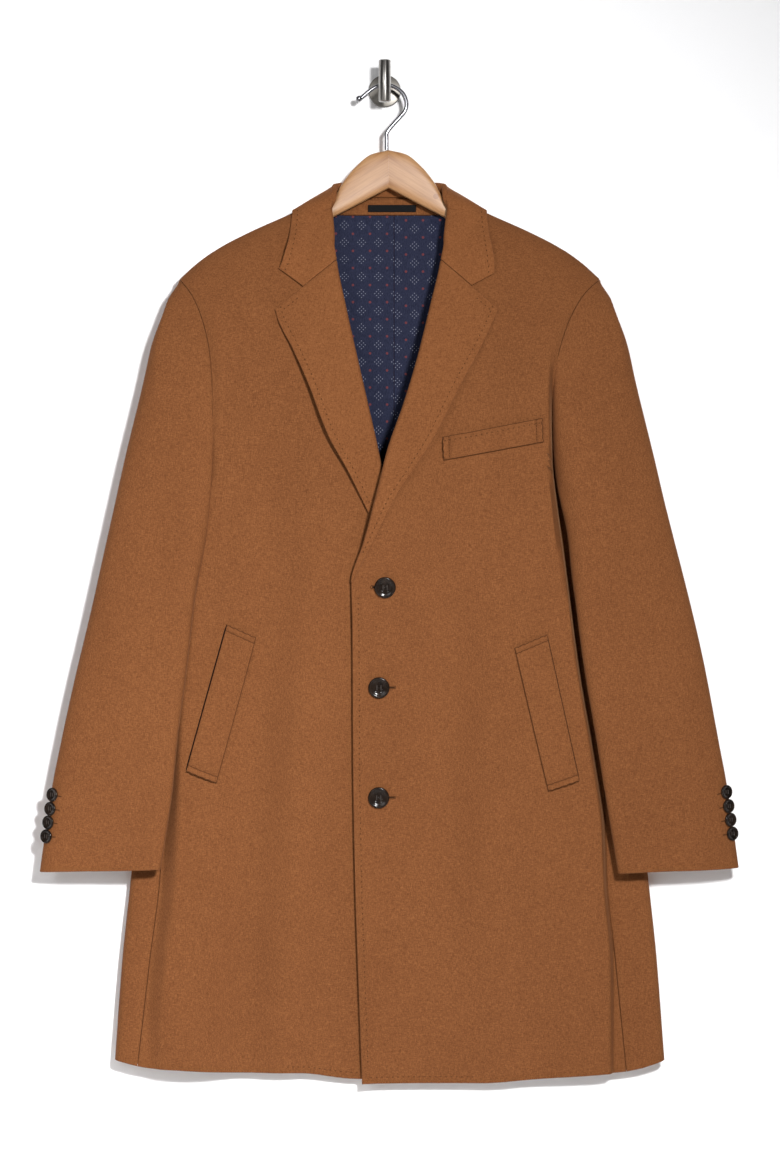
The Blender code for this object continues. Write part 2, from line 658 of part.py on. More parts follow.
def gorge_line(side, steps):
    """The collar's front end: along the lapel's upper edge to the notch, then to the collar's tip."""
    edge = np.array(lapel_row(side, 0.0, np.linspace(-78, 90, 12), np.linspace(0, 1, 80)[1:]))
    notch = world(side * NOTCH_OUT[side], 0, NOTCH_DROP[side])
    nearest = int(np.argmin(np.linalg.norm((edge - notch)[:, [0, 2]], axis=1)))
    tip_deep = front_deep(side, TIP_OUT[side], TIP_DROP[side]) + CLOTH + COLLAR_FRONT_GAP
    tip = world(side * TIP_OUT[side], tip_deep, TIP_DROP[side])
    first = int(round(NOTCH_STEP * (steps - 1))) + 1
    gorge = along_line(edge[: nearest + 1] + np.array([0, 0, GORGE_GAP]), first)
    end = along_line([gorge[-1], tip], steps - first + 1)
    return np.concatenate([gorge, end[1:]])


def collar_half(side, steps, shares):
    """The collar's sections on one side, drawn to the lapel at the front end."""
    pull = gorge_line(side, steps) - collar_row(side, 0.0, steps)
    rows = []
    for share in shares:
        rows.append(collar_row(side, share, steps) + pull * (1 - float(ease(0, GORGE_EASE, share))))
    return rows


def collar_grid(steps, shares):
    left = collar_half(LEFT, steps, shares)
    right = collar_half(RIGHT, steps, shares[-2::-1])
    return np.array(left + right)


# Walls and solids


def material(name, colour, roughness, metallic=0.0):
    made = bpy.data.materials.new(name)
    made.use_nodes = True
    shader = made.node_tree.nodes["Principled BSDF"]
    shader.inputs["Base Color"].default_value = (*colour, 1)
    shader.inputs["Roughness"].default_value = roughness
    shader.inputs["Metallic"].default_value = metallic
    return made


def add_mesh(name, points, faces, finish):
    """A closed mesh as a named object, with its faces turned outward."""
    mesh = bpy.data.meshes.new(name)
    mesh.from_pydata([tuple(point) for point in points], [], faces)
    shape = bmesh.new()
    shape.from_mesh(mesh)
    bmesh.ops.recalc_face_normals(shape, faces=shape.faces)
    if shape.calc_volume(signed=True) < 0:
        bmesh.ops.reverse_faces(shape, faces=shape.faces)
    shape.to_mesh(mesh)
    shape.free()
    mesh.shade_smooth()
    mesh.set_sharp_from_angle(angle=math.radians(40))
    mesh.materials.append(finish)
    made = bpy.data.objects.new(name, mesh)
    bpy.context.scene.collection.objects.link(made)
    return made


def add_wall(name, grid, finish, thick=CLOTH, normals=None):
    """A sheet of cloth: a grid of points down its middle, given a front, a back and four edges."""
    if normals is None:
        normals = normals_of(grid)
    count, width = grid.shape[:2]
    points = np.concatenate([grid + normals * thick / 2, grid - normals * thick / 2]).reshape(-1, 3)
    other = count * width
    faces = []
    for i in range(count - 1):
        for j in range(width - 1):
            a = i * width + j
            corners = [a, a + 1, a + width + 1, a + width]
            faces.append(corners)
            faces.append([other + corners[k] for k in (0, 3, 2, 1)])
    rim = list(range(width))
    rim += [i * width + width - 1 for i in range(1, count)]
    rim += [(count - 1) * width + j for j in range(width - 2, -1, -1)]
    rim += [i * width for i in range(count - 2, 0, -1)]
    for a, b in zip(rim, rim[1:] + rim[:1]):
        faces.append([b, a, other + a, other + b])
    return add_mesh(name, points, faces, finish)


def add_turned(name, profile, sides, centre, axis, finish):
    """A turned piece: radii and heights of its outline, round an axis through a centre."""
    axis = np.array(axis) / np.linalg.norm(axis)
    side = np.cross(axis, [0, 0, 1] if abs(axis[2]) < 0.9 else [1, 0, 0])
    side /= np.linalg.norm(side)
    other = np.cross(axis, side)
    points = [np.array(centre) + axis * profile[0][1]]
    for radius, height in profile[1:-1]:
        for k in range(sides):
            turn = 2 * math.pi * k / sides
            spoke = side * math.cos(turn) + other * math.sin(turn)
            points.append(np.array(centre) + axis * height + spoke * radius)
    points.append(np.array(centre) + axis * profile[-1][1])
    faces = []
    last = len(points) - 1
    rings = len(profile) - 2
    for k in range(sides):
        after = (k + 1) % sides
        faces.append([0, 1 + after, 1 + k])
        for ring in range(rings - 1):
            start = 1 + ring * sides
            faces.append([start + k, start + after, start + sides + after, start + sides + k])
        start = 1 + (rings - 1) * sides
        faces.append([start + k, start + after, last])
    return add_mesh(name, points, faces, finish)


def facing_viewer(grid):
    """Normals of a grid, turned towards the viewer."""
    normals = normals_of(grid)
    return -normals if normals[..., 1].mean() > 0 else normals


def patch_on_front(side, corners, columns, rows):
    """A grid on a front between four corners, each given as out and drop."""
    upper_in, upper_out, lower_out, lower_in = (np.array(corner) for corner in corners)
    grid = []
    for v in np.linspace(0, 1, rows):
        start = upper_in + (lower_in - upper_in) * v
        end = upper_out + (lower_out - upper_out) * v
        places = [start + (end - start) * u for u in np.linspace(0, 1, columns)]
        grid.append([world(side * out, front_deep(side, out, drop), drop) for out, drop in places])
    return np.array(grid)


# The coat's pieces

FRONT_COLUMNS = np.array([0, 0.06, 0.13, 0.21, 0.30, 0.40, 0.50, 0.60, 0.68, 0.76, 0.85, 0.925, 1])
BACK_FLAT = np.array([1, 0.80, 0.62, 0.48, 0.37, 0.29, 0.23, 0.16, 0.08, 0])
RIDGE_SHARE = 0.105
LAPEL_SHARE = 0.45


def armhole_rows(side):
    """Shares of the way down the side, from the shoulder to the underarm."""
    underarm = (UNDERARM_DROP - SHOULDER_DROP) / (hem_ends(side)[1] - SHOULDER_DROP)
    ridge = RIDGE_SHARE * np.linspace(0, 1, 6) ** 1.8
    return np.concatenate([ridge, np.linspace(RIDGE_SHARE, underarm, 6)[1:]])


def body_rows(side):
    upper = armhole_rows(side)
    lapel = np.linspace(upper[-1], LAPEL_SHARE, 6)[1:]
    return np.concatenate([upper, lapel, np.linspace(LAPEL_SHARE, 1, 9)[1:]])


def add_body(finish):
    for side, name in ((LEFT, "left"), (RIGHT, "right")):
        rows = body_rows(side)
        add_wall("front_" + name, front_grid(side, FRONT_COLUMNS, rows), finish)
        add_wall("back_" + name, back_grid(side, BACK_FLAT, rows), finish)


def parted(grid, first_gap, last_gap):
    """A grid with its first and last columns drawn in from the seams."""
    grid = grid.copy()
    for edge, inside, gap in ((0, 1, first_gap), (-1, -2, last_gap)):
        way = grid[:, inside] - grid[:, edge]
        grid[:, edge] += way / np.linalg.norm(way, axis=-1, keepdims=True) * gap / 2
    return grid


SLEEVE_ROWS = np.array([0, 0.012, 0.03, 0.055, 0.09, 0.13, 0.18, 0.24, 0.32, 0.43, 0.56, 0.70, 0.85, 1])


def add_sleeves(finish):
    shoulder_gap = 3 * SEAM_GAP
    underarm_gap = 2 * SEAM_GAP + UNDERARM_EASE * (1 - ease(0.03, 0.16, SLEEVE_ROWS[:, None]))
    for side, name in ((LEFT, "left"), (RIGHT, "right")):
        drops = side_drops(side, armhole_rows(side))
        halves = [
            ("top", front_degrees(drops), shoulder_gap, underarm_gap),
            ("under", back_degrees(drops)[::-1], underarm_gap, shoulder_gap),
        ]
        for half, degrees, first_gap, last_gap in halves:
            padded = np.concatenate([[degrees[0] - 4], degrees, [degrees[-1] + 4]])
            grid = sleeve_grid(side, padded, SLEEVE_ROWS)
            normals = normals_of(grid)[:, 1:-1]
            grid = parted(grid[:, 1:-1], first_gap, last_gap)
            add_wall("sleeve_" + half + "_" + name, grid, finish, normals=normals)


def add_lapels(finish):
    turns = np.linspace(-78, 90, 5)
    leaf = np.linspace(0, 1, 6)[1:]
    for side, name in ((LEFT, "left"), (RIGHT, "right")):
        grid = lapel_grid(side, turns, leaf, np.linspace(0, 1, 12))
        add_wall("lapel_" + name, grid, finish)


def add_collar(finish):
    shares = np.array([0, 0.08, 0.16, 0.32, 0.46, 0.54, 0.62, 0.70, 0.78, 0.88, 1.0])
    add_wall("collar", collar_grid(11, shares), finish)


def inside_back(side, first_row, last_row, first_column, rise):
    """Part of a back's own points, moved in towards the viewer."""
    grid = back_grid(side, BACK_FLAT, body_rows(side))
    grid = grid + facing_viewer(grid) * rise
    return grid[first_row:last_row, first_column:]


FACING_ROWS = (0, 3)
LINING_ROWS = (2, 23)
FACING_COLUMNS = 4
LINING_COLUMNS = 8


def add_neck_facing(finish):
    rise = CLOTH + 4 * SEAM_GAP
    left = inside_back(LEFT, *FACING_ROWS, -FACING_COLUMNS, rise)
    right = inside_back(RIGHT, *FACING_ROWS, -FACING_COLUMNS, rise)
    grid = np.concatenate([left, right[:, -2::-1]], axis=1)
    grid[0] += (grid[1] - grid[0]) * 0.25
    add_wall("neck_facing", grid, finish)


LOOP_FROM = -0.0235
LOOP_TO = 0.0289
LOOP_DROPS = (0.1258, 0.1335)


def add_hang_loop(finish):
    rise = 1.5 * CLOTH + 6 * SEAM_GAP + LINING / 2
    outs = np.linspace(LOOP_FROM, LOOP_TO, 9)
    grid = np.array([world(outs, back_deep(np.abs(outs), drop) + rise, drop) for drop in LOOP_DROPS])
    add_wall("hang_loop", grid, finish, thick=LINING)


def add_lining(finish):
    rise = CLOTH / 2 + 3 * SEAM_GAP + LINING / 2
    for side, name in ((LEFT, "left"), (RIGHT, "right")):
        grid = inside_back(side, *LINING_ROWS, -LINING_COLUMNS, rise)
        way = grid[1] - grid[0]
        grid[0] += way / np.linalg.norm(way, axis=-1, keepdims=True) * 2 * SEAM_GAP
        add_wall("lining_" + name, grid, finish, thick=LINING)


def add_welts(finish):
    rise = CLOTH + 2 * SEAM_GAP
    for welt in WELTS:
        grid = patch_on_front(welt.side, welt[2:], 5, 6)
        add_wall(welt.name, grid + facing_viewer(grid) * rise, finish)


def button_profile(radius, thick):
    return [
        (0, 0),
        (radius * 0.86, 0),
        (radius, thick * 0.42),
        (radius * 0.93, thick),
        (radius * 0.70, thick),
        (radius * 0.56, thick * 0.68),
        (0, thick * 0.68),
    ]


CORNERS = ((-1, -1), (1, -1), (1, 1), (-1, 1))


def add_front_buttons(finish):
    for button in FRONT_BUTTONS:
        reach = FRONT_BUTTON / 3
        corners = [(button.x + a * reach, button.drop + b * reach) for a, b in CORNERS]
        grid = patch_on_front(RIGHT, corners, 3, 3)
        way = facing_viewer(grid)[1, 1]
        centre = grid[1, 1] + way * (CLOTH / 2 + 2 * SEAM_GAP)
        add_turned(button.name, button_profile(FRONT_BUTTON, FRONT_BUTTON_THICK), 18, centre, way, finish)


def add_cuff_buttons(finish):
    for side, name in ((LEFT, "left"), (RIGHT, "right")):
        start = float(armhole_at(side, CUFF_BUTTON_ANGLE)[1])
        for number, drop in enumerate(CUFF_BUTTON_DROPS[side], 1):
            share = (drop - start) / (CUFF_OUTER[side] - start)
            angles = CUFF_BUTTON_ANGLE + np.array([-8, 0, 8])
            grid = sleeve_grid(side, angles, share + np.array([-0.004, 0, 0.004]))
            way = facing_viewer(grid)[1, 1]
            centre = grid[1, 1] + way * (CLOTH / 2 + 2 * SEAM_GAP)
            label = "cuff_button_" + name + "_" + str(number)
            add_turned(label, button_profile(CUFF_BUTTON, CUFF_BUTTON_THICK), 12, centre, way, finish)


# The hanger and the wall hook


def hanger_edges(side, out):
    """The drops of the hanger's upper and lower edge."""
    coat_out = out + side * (HANGER_X - AXIS_X)
    under_shoulder = float(read(SHOULDER, "drop", coat_out)) + HANGER_UNDER
    crown = float(read(HANGER_CROWN, "top", out))
    top = max(crown, under_shoulder) if out > ARM_FROM else crown
    if out < ARM_FROM:
        bottom = HANGER_APEX_DROP + CROWN_SLOPE * out
    else:
        bottom = top + ARM_HEIGHT - ARM_TAPER * (out - ARM_FROM)
    return top, bottom


def add_hanger(finish):
    crown = np.linspace(SEAM_GAP / 2, ARM_FROM, 9)
    arm = np.linspace(ARM_FROM, HANGER_END - 0.008, 8)[1:]
    rounded = [(HANGER_END - 0.008, 0.92), (HANGER_END - 0.002, 0.74), (HANGER_END, 0.45)]
    outs = [(out, 1.0) for out in (*crown, *arm[:-1])] + rounded
    turns = np.radians(np.arange(0, 360, 30) + 15)
    for side, name in ((LEFT, "left"), (RIGHT, "right")):
        points = []
        for out, small in outs:
            top, bottom = hanger_edges(side, out)
            square = 0.62 + 0.36 * float(ease(0.050, 0.066, out))
            for turn in turns:
                drop = (top + bottom) / 2 + small * (bottom - top) / 2 * power_round(math.sin(turn), square)
                deep = RIDGE_DEEP + small * HANGER_HALF_THICK * power_round(math.cos(turn), square)
                points.append((HANGER_X + side * out, -deep, -drop))
        count = len(turns)
        faces = [list(range(count)), list(range(len(points) - count, len(points)))]
        for ring in range(len(outs) - 1):
            for k in range(count):
                a = ring * count + k
                b = ring * count + (k + 1) % count
                faces.append([a, b, b + count, a + count])
        add_mesh("hanger_" + name, points, faces, finish)


def add_hook(finish):
    path = spline([(x, z, 0) for x, z in HOOK_PATH], 37)
    curve = bpy.data.curves.new("hanger_hook", "CURVE")
    curve.dimensions = "3D"
    curve.bevel_depth = WIRE_RADIUS
    curve.bevel_resolution = 2
    curve.use_fill_caps = True
    line = curve.splines.new("POLY")
    line.points.add(len(path) - 1)
    for i, (point, (x, z, _)) in enumerate(zip(line.points, path)):
        point.co = (x, -RIDGE_DEEP, z, 1)
        left = len(path) - 1 - i
        point.radius = WIRE_TIP_RADIUS / WIRE_RADIUS if 1 <= left <= 2 else 1.0
    curve.materials.append(finish)
    made = bpy.data.objects.new("hanger_hook", curve)
    bpy.context.scene.collection.objects.link(made)


def add_wall_hook(finish):
    bevel = 0.0008
    plate = [(0, 0), (PLATE_RADIUS, 0), (PLATE_RADIUS, PLATE_THICK - bevel)]
    plate += [(PLATE_RADIUS - bevel, PLATE_THICK), (0, PLATE_THICK)]
    add_turned("wall_plate", plate, 32, (0, 0, 0), (0, -1, 0), finish)
    post_start = PLATE_THICK + SEAM_GAP
    post_end = PEG_DEEP - PEG_RADIUS - SEAM_GAP
    post = [(0, post_start), (POST_RADIUS, post_start), (POST_RADIUS, post_end), (0, post_end)]
    add_turned("wall_post", post, 20, (0, 0, -POST_DROP), (0, -1, 0), finish)
    peg = [(0, PEG_BOTTOM), (PEG_RADIUS - bevel, PEG_BOTTOM), (PEG_RADIUS, PEG_BOTTOM + bevel)]
    peg += [(PEG_RADIUS, PEG_TOP - bevel), (PEG_RADIUS - bevel, PEG_TOP), (0, PEG_TOP)]
    add_turned("wall_peg", peg, 28, (0, -PEG_DEEP, 0), (0, 0, 1), finish)


def main():
    for old in list(bpy.data.objects):
        bpy.data.objects.remove(old)
    wool = material("camel wool", (0.30, 0.150, 0.062), 0.9)
    satin = material("navy lining", (0.022, 0.030, 0.075), 0.4)
    black = material("black loop", (0.012, 0.012, 0.014), 0.6)
    horn = material("dark horn", (0.020, 0.015, 0.012), 0.3)
    wood = material("pale wood", (0.62, 0.38, 0.19), 0.45)
    chrome = material("bright wire", (0.75, 0.75, 0.76), 0.15, 1.0)
    steel = material("brushed steel", (0.55, 0.54, 0.52), 0.32, 1.0)
    add_body(wool)
    add_sleeves(wool)
    add_lapels(wool)
    add_collar(wool)
    add_neck_facing(wool)
    add_hang_loop(black)
    add_lining(satin)
    add_welts(wool)
    add_front_buttons(horn)
    add_cuff_buttons(horn)
    add_hanger(wood)
    add_hook(chrome)
    add_wall_hook(steel)


main()
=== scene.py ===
"""The topcoat's looks: finer cloth, its sewing, buttons, hanger and wall hook, materials, light and camera.

The cloth is worked out as in the part: x across from the coat's own middle line, drop below the origin, and
deep, how far it stands in front of the wall. Metres, +Z up, and the viewer looks along +Y.
"""

import math
from collections import namedtuple

import bmesh
import bpy
import numpy as np
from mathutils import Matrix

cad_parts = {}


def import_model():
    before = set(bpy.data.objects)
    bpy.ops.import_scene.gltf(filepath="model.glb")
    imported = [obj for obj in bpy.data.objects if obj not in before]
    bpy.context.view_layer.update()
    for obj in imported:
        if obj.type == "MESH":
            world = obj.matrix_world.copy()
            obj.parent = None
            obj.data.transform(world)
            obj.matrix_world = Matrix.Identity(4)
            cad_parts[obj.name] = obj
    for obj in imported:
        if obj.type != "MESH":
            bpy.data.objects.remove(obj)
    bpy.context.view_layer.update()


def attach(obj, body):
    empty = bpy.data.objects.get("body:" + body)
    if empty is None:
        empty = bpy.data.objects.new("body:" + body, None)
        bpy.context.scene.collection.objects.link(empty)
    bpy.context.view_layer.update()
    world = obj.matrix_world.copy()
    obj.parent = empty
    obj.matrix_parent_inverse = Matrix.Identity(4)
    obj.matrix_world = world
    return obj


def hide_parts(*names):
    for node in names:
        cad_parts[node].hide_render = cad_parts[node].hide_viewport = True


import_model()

# Driving sizes
AXIS_X = 0.0052
CLOTH = 0.0020
LINING = 0.0010
SEAM_GAP = 0.0003
LEFT = -1
RIGHT = 1
NAMES = {LEFT: "left", RIGHT: "right"}
NEARLY = 0.0001

# Shoulders and neck
RIDGE_DEEP = 0.028
RIDGE_GAP = 0.0007
FRONT_ROUND = 0.100
BACK_ROUND = 0.085
NECK_OUT = 0.0652
NECK_DROP = 0.1200
SHOULDER_OUT = 0.2275
SHOULDER_DROP = 0.2090
BACK_NECK_DROP = 0.1190
BACK_NECK_OUT = 0.040
BACK_NECK_TURN = 0.070
UNDERARM_OUT = 0.2400
UNDERARM_DROP = 0.4520

# The side fold, where a back comes round to the side seam
FOLD_RADIUS = 0.0070
BACK_LIFT_FROM = 0.55
SIDE_SEAM_GAP = 0.0004
ROW_BEND = 14
AROUND_COUNT = 7
SEAM_STEP = 4
FOLD_CLEAR = 10
FOLD_STARTS = 84
FOLD_ENDS = -60
ARMHOLE_STEP = 0.90

# Fronts: the right one laps over the left one
LAP = 0.0055
CURL = 0.0032
CURL_WIDE = 0.012
CURL_GROWS = 0.04
LAP_STARTS = 0.14
LAP_FULL = 0.30
LAP_LIFT = 0.0165
LIFT_X = -0.005
LIFT_DROP = 0.455
LIFT_WIDE = 0.050
LIFT_TALL = 0.085
DIP_WIDE = {LEFT: 0.020, RIGHT: 0.0060}
DIP_INSIDE = {LEFT: -0.0175, RIGHT: 0.0040}
DIP_SOFT = 0.0015
BEND_COLUMN = 0.60
BEND_FURTHEST = 0.86
FLOOR_COLUMN = 0.85
FLOOR_FURTHEST = 0.95
DIP_STARTS = {LEFT: 0.345, RIGHT: 0.275}
DIP_FULL = 0.425
HEM_FOLD = {LEFT: 0.0205, RIGHT: 0.0090}
HEM_FOLD_OUT = 0.225
HEM_FOLD_WIDE = 0.060
HEM_FOLD_STARTS = 0.78
HEM_FOLD_FULL = 1.08
ROLL_RADIUS = 0.0035
ROLL_TAIL = 0.0009
ROLL_NARROWS = 0.430
ROLL_GAP = 0.0006
ROLL_BEHIND = 0.8
ROLL_ENDS = 0.500
BREAK_DROP = 0.5378

# Hanger and wall hook
HANGER_X = 0.0042
HANGER_HALF_THICK = 0.0052
HANGER_END = 0.196
HANGER_UNDER = 0.0032
CROWN_SLOPE = 0.5236
ARM_FROM = 0.0600
ARM_HEIGHT = 0.0205
ARM_TAPER = 0.030
HANGER_APEX_DROP = 0.1093
WIRE_RADIUS = 0.0023
WIRE_TIP_RADIUS = 0.0034
PLATE_RADIUS = 0.0175
PLATE_THICK = 0.0060
POST_RADIUS = 0.0045
POST_DROP = 0.0035
PEG_RADIUS = 0.0066
PEG_TOP = 0.0274
PEG_BOTTOM = -0.0176
PEG_DEEP = 0.0445

# Buttons
FRONT_BUTTON = 0.0115
FRONT_BUTTON_THICK = 0.0036
CUFF_BUTTON = 0.0076
CUFF_BUTTON_THICK = 0.0030

# Sizes of the shoulder line and the hem, by how far out they lie
Ridge = namedtuple("Ridge", "key drop")
SHOULDER = [
    Ridge(0.0000, 0.1190),
    Ridge(0.0652, 0.1200),
    Ridge(0.1100, 0.1400),
    Ridge(0.1490, 0.1570),
    Ridge(0.1830, 0.1742),
    Ridge(0.2080, 0.1915),
    Ridge(0.2275, 0.2090),
]
Hem = namedtuple("Hem", "key left right")
HEM = [
    Hem(-0.0450, 1.0790, 1.0824),
    Hem(0.0400, 1.0775, 1.0814),
    Hem(0.1000, 1.0710, 1.0814),
    Hem(0.1600, 1.0705, 1.0766),
    Hem(0.2250, 1.0662, 1.0716),
    Hem(0.2600, 1.0645, 1.0684),
    Hem(0.2990, 1.0560, 1.0560),
]

# The body, by drop: side fold and side seams from the middle, then depths from the wall
Body = namedtuple("Body", "key fold seam_left seam_right front floor_left floor_right turn back")
BODY = [
    Body(0.120, 0.2400, 0.2400, 0.2400, 0.0460, 0.0280, 0.0280, 0.0145, 0.0100),
    Body(0.250, 0.2400, 0.2400, 0.2400, 0.0520, 0.0240, 0.0240, 0.0145, 0.0080),
    Body(0.350, 0.2400, 0.2400, 0.2400, 0.0570, 0.0225, 0.0225, 0.0145, 0.0065),
    Body(0.452, 0.2434, 0.2400, 0.2400, 0.0575, 0.0205, 0.0205, 0.0138, 0.0065),
    Body(0.560, 0.2540, 0.2420, 0.2360, 0.0530, 0.0200, 0.0200, 0.0132, 0.0065),
    Body(0.700, 0.2665, 0.2440, 0.2335, 0.0445, 0.0205, 0.0205, 0.0135, 0.0065),
    Body(0.850, 0.2800, 0.2490, 0.2358, 0.0350, 0.0240, 0.0235, 0.0155, 0.0065),
    Body(0.950, 0.2900, 0.2606, 0.2455, 0.0275, 0.0280, 0.0245, 0.0190, 0.0070),
    Body(1.085, 0.2990, 0.2760, 0.2590, 0.0180, 0.0320, 0.0250, 0.0245, 0.0080),
]

# The sleeves, by drop: outer edge, inner edges, and the depths of the front and the back of the sleeve
Sleeve = namedtuple("Sleeve", "key outer inner_left inner_right front back")
SLEEVE = [
    Sleeve(0.209, 0.2275, 0.1905, 0.1799, 0.0480, 0.0140),
    Sleeve(0.231, 0.2410, 0.1905, 0.1799, 0.0520, 0.0160),
    Sleeve(0.274, 0.2553, 0.1905, 0.1799, 0.0550, 0.0180),
    Sleeve(0.318, 0.2648, 0.1905, 0.1795, 0.0570, 0.0200),
    Sleeve(0.405, 0.2857, 0.1900, 0.1816, 0.0590, 0.0240),
    Sleeve(0.448, 0.2954, 0.1936, 0.1860, 0.0600, 0.0260),
    Sleeve(0.534, 0.3162, 0.2080, 0.1978, 0.0610, 0.0265),
    Sleeve(0.630, 0.3387, 0.2192, 0.2106, 0.0600, 0.0260),
    Sleeve(0.707, 0.3542, 0.2294, 0.2238, 0.0570, 0.0260),
    Sleeve(0.760, 0.3645, 0.2348, 0.2325, 0.0535, 0.0260),
    Sleeve(0.852, 0.3780, 0.2488, 0.2478, 0.0480, 0.0255),
]

# The armhole, by degrees round it: 0 is the shoulder, 90 the front, 180 the underarm and 270 the back.
# Ring is where round the sleeve that place leads: 0 is its outer edge, 90 its front and 180 its inner edge.
Armhole = namedtuple("Armhole", "key out_left out_right drop ring")
ARMHOLE = [
    Armhole(0, 0.2275, 0.2275, 0.2090, -9),
    Armhole(30, 0.2130, 0.2090, 0.2275, 26),
    Armhole(60, 0.1995, 0.1905, 0.2620, 64),
    Armhole(90, 0.1925, 0.1800, 0.3010, 106),
    Armhole(120, 0.1905, 0.1760, 0.3450, 142),
    Armhole(145, 0.1940, 0.1800, 0.3940, 176),
    Armhole(164, 0.2110, 0.2030, 0.4310, 218),
    Armhole(180, 0.2400, 0.2400, 0.4520, 262),
    Armhole(200, 0.2330, 0.2330, 0.4100, 284),
    Armhole(235, 0.2200, 0.2200, 0.3550, 304),
    Armhole(270, 0.2140, 0.2140, 0.3000, 320),
    Armhole(315, 0.2175, 0.2175, 0.2420, 337),
    Armhole(360, 0.2275, 0.2275, 0.2090, 351),
]

# The roll lines and front edges, by drop, as out from the middle on each front's own side
Edge = namedtuple("Edge", "key left right")
FRONT_EDGE = [
    Edge(0.1200, 0.0652, 0.0652),
    Edge(0.1424, 0.0608, 0.0608),
    Edge(0.1870, 0.0572, 0.0555),
    Edge(0.2400, 0.0468, 0.0434),
    Edge(0.2960, 0.0342, 0.0295),
    Edge(0.3440, 0.0232, 0.0151),
    Edge(0.3935, 0.0120, -0.0021),
    Edge(0.4346, 0.0040, -0.0124),
    Edge(0.4943, -0.0069, -0.0279),
    Edge(0.5378, -0.0145, -0.0412),
    Edge(0.5810, -0.0145, -0.0401),
    Edge(0.7278, -0.0145, -0.0395),
    Edge(0.8593, -0.0140, -0.0374),
    Edge(0.9903, -0.0110, -0.0331),
    Edge(1.0850, -0.0090, -0.0298),
]
LAPEL_EDGE = [
    Edge(0.2425, 0.1236, 0.1173),
    Edge(0.2560, 0.1195, 0.1118),
    Edge(0.2854, 0.1044, 0.0977),
    Edge(0.3237, 0.0873, 0.0770),
    Edge(0.3789, 0.0661, 0.0492),
    Edge(0.4170, 0.0449, 0.0249),
    Edge(0.4464, 0.0303, 0.0055),
    Edge(0.4753, 0.0165, -0.0088),
    Edge(0.5064, 0.0015, -0.0244),
    Edge(0.5378, -0.0135, -0.0402),
]
GORGE_DROP = 0.1890
PEAK_BELOW = 0.0535
PEAK_FADES = 0.75
END_ABOVE = 0.0060
LAPEL_GAP = 0.0009
LAPEL_STANDS = {LEFT: 0.0105, RIGHT: 0.0085}
LAPEL_STANDS_BY = 1.15

# The collar, by share of the way from the front end (0) to the centre back (1)
Collar = namedtuple(
    "Collar",
    "key base_out base_drop base_deep crest_out crest_drop crest_deep edge_out edge_drop edge_deep swell",
)
COLLAR = [
    Collar(0.00, 0.0612, 0.1880, 0.0500, 0.0566, 0.1880, 0.0535, 0.1160, 0.1985, 0.0560, 0.000),
    Collar(0.16, 0.0626, 0.1700, 0.0480, 0.0578, 0.1700, 0.0515, 0.1125, 0.1823, 0.0525, 0.001),
    Collar(0.32, 0.0648, 0.1500, 0.0440, 0.0598, 0.1495, 0.0480, 0.1080, 0.1615, 0.0475, 0.002),
    Collar(0.46, 0.0655, 0.1340, 0.0395, 0.0610, 0.1310, 0.0440, 0.1060, 0.1440, 0.0410, 0.003),
    Collar(0.58, 0.0645, 0.1215, 0.0335, 0.0612, 0.1140, 0.0385, 0.1050, 0.1342, 0.0316, 0.003),
    Collar(0.68, 0.0630, 0.1175, 0.0265, 0.0606, 0.1060, 0.0275, 0.0995, 0.1342, 0.0180, 0.003),
    Collar(0.78, 0.0540, 0.1172, 0.0190, 0.0525, 0.1030, 0.0185, 0.0840, 0.1480, 0.0080, 0.002),
    Collar(0.88, 0.0350, 0.1172, 0.0120, 0.0340, 0.1020, 0.0120, 0.0500, 0.1600, 0.0060, 0.001),
    Collar(1.00, 0.0000, 0.1172, 0.0100, 0.0000, 0.1020, 0.0105, 0.0000, 0.1630, 0.0055, 0.001),
]
NOTCH_OUT = {LEFT: 0.0944, RIGHT: 0.0897}
NOTCH_DROP = {LEFT: 0.2164, RIGHT: 0.2164}
TIP_OUT = {LEFT: 0.1200, RIGHT: 0.1128}
TIP_DROP = {LEFT: 0.1980, RIGHT: 0.2040}
COLLAR_FOLD = 0.0034
COLLAR_FRONT_GAP = 0.0018
COLLAR_LIFT = 0.0075
COLLAR_FALL = 0.030
COLLAR_BACK_GAP = 0.0012
COLLAR_STANDS_FROM = 0.46
COLLAR_END = 0.30
COLLAR_GOES_BEHIND = (0.40, 0.54)
COLLAR_SWINGS_OUT = (0.36, 0.64)
COLLAR_SWINGS_BACK = (0.68, 0.88)
COLLAR_RISES = (0.34, 0.60)
COLLAR_LEAVES_FRONT = (0.34, 0.56)
COLLAR_FALLS = (0.54, 0.68)
COLLAR_MEETS_BACK = 0.74
COLLAR_LIFT_FADES = (0.20, 0.42)

# The welts' corners: the upper inner, upper outer, lower outer and lower inner one
Welt = namedtuple("Welt", "name side upper_in upper_out lower_out lower_in")
WELTS = [
    Welt("chest_welt", RIGHT, (0.0575, 0.3815), (0.1640, 0.3610), (0.1650, 0.3862), (0.0580, 0.4060)),
    Welt("pocket_welt_left", LEFT, (0.1445, 0.5965), (0.1750, 0.5825), (0.2195, 0.7410), (0.1875, 0.7540)),
    Welt("pocket_welt_right", RIGHT, (0.1340, 0.6075), (0.1690, 0.5930), (0.2045, 0.7510), (0.1715, 0.7625)),
]

# The buttons' places
Button = namedtuple("Button", "name x drop")
FRONT_BUTTONS = [
    Button("front_button_1", -0.0048, 0.5420),
    Button("front_button_2", -0.0114, 0.6504),
    Button("front_button_3", -0.0117, 0.7693),
]
CUFF_BUTTON_DROPS = {LEFT: (0.7665, 0.7817, 0.7965, 0.8115), RIGHT: (0.7632, 0.7784, 0.7932, 0.8082)}
CUFF_BUTTON_ANGLE = 26

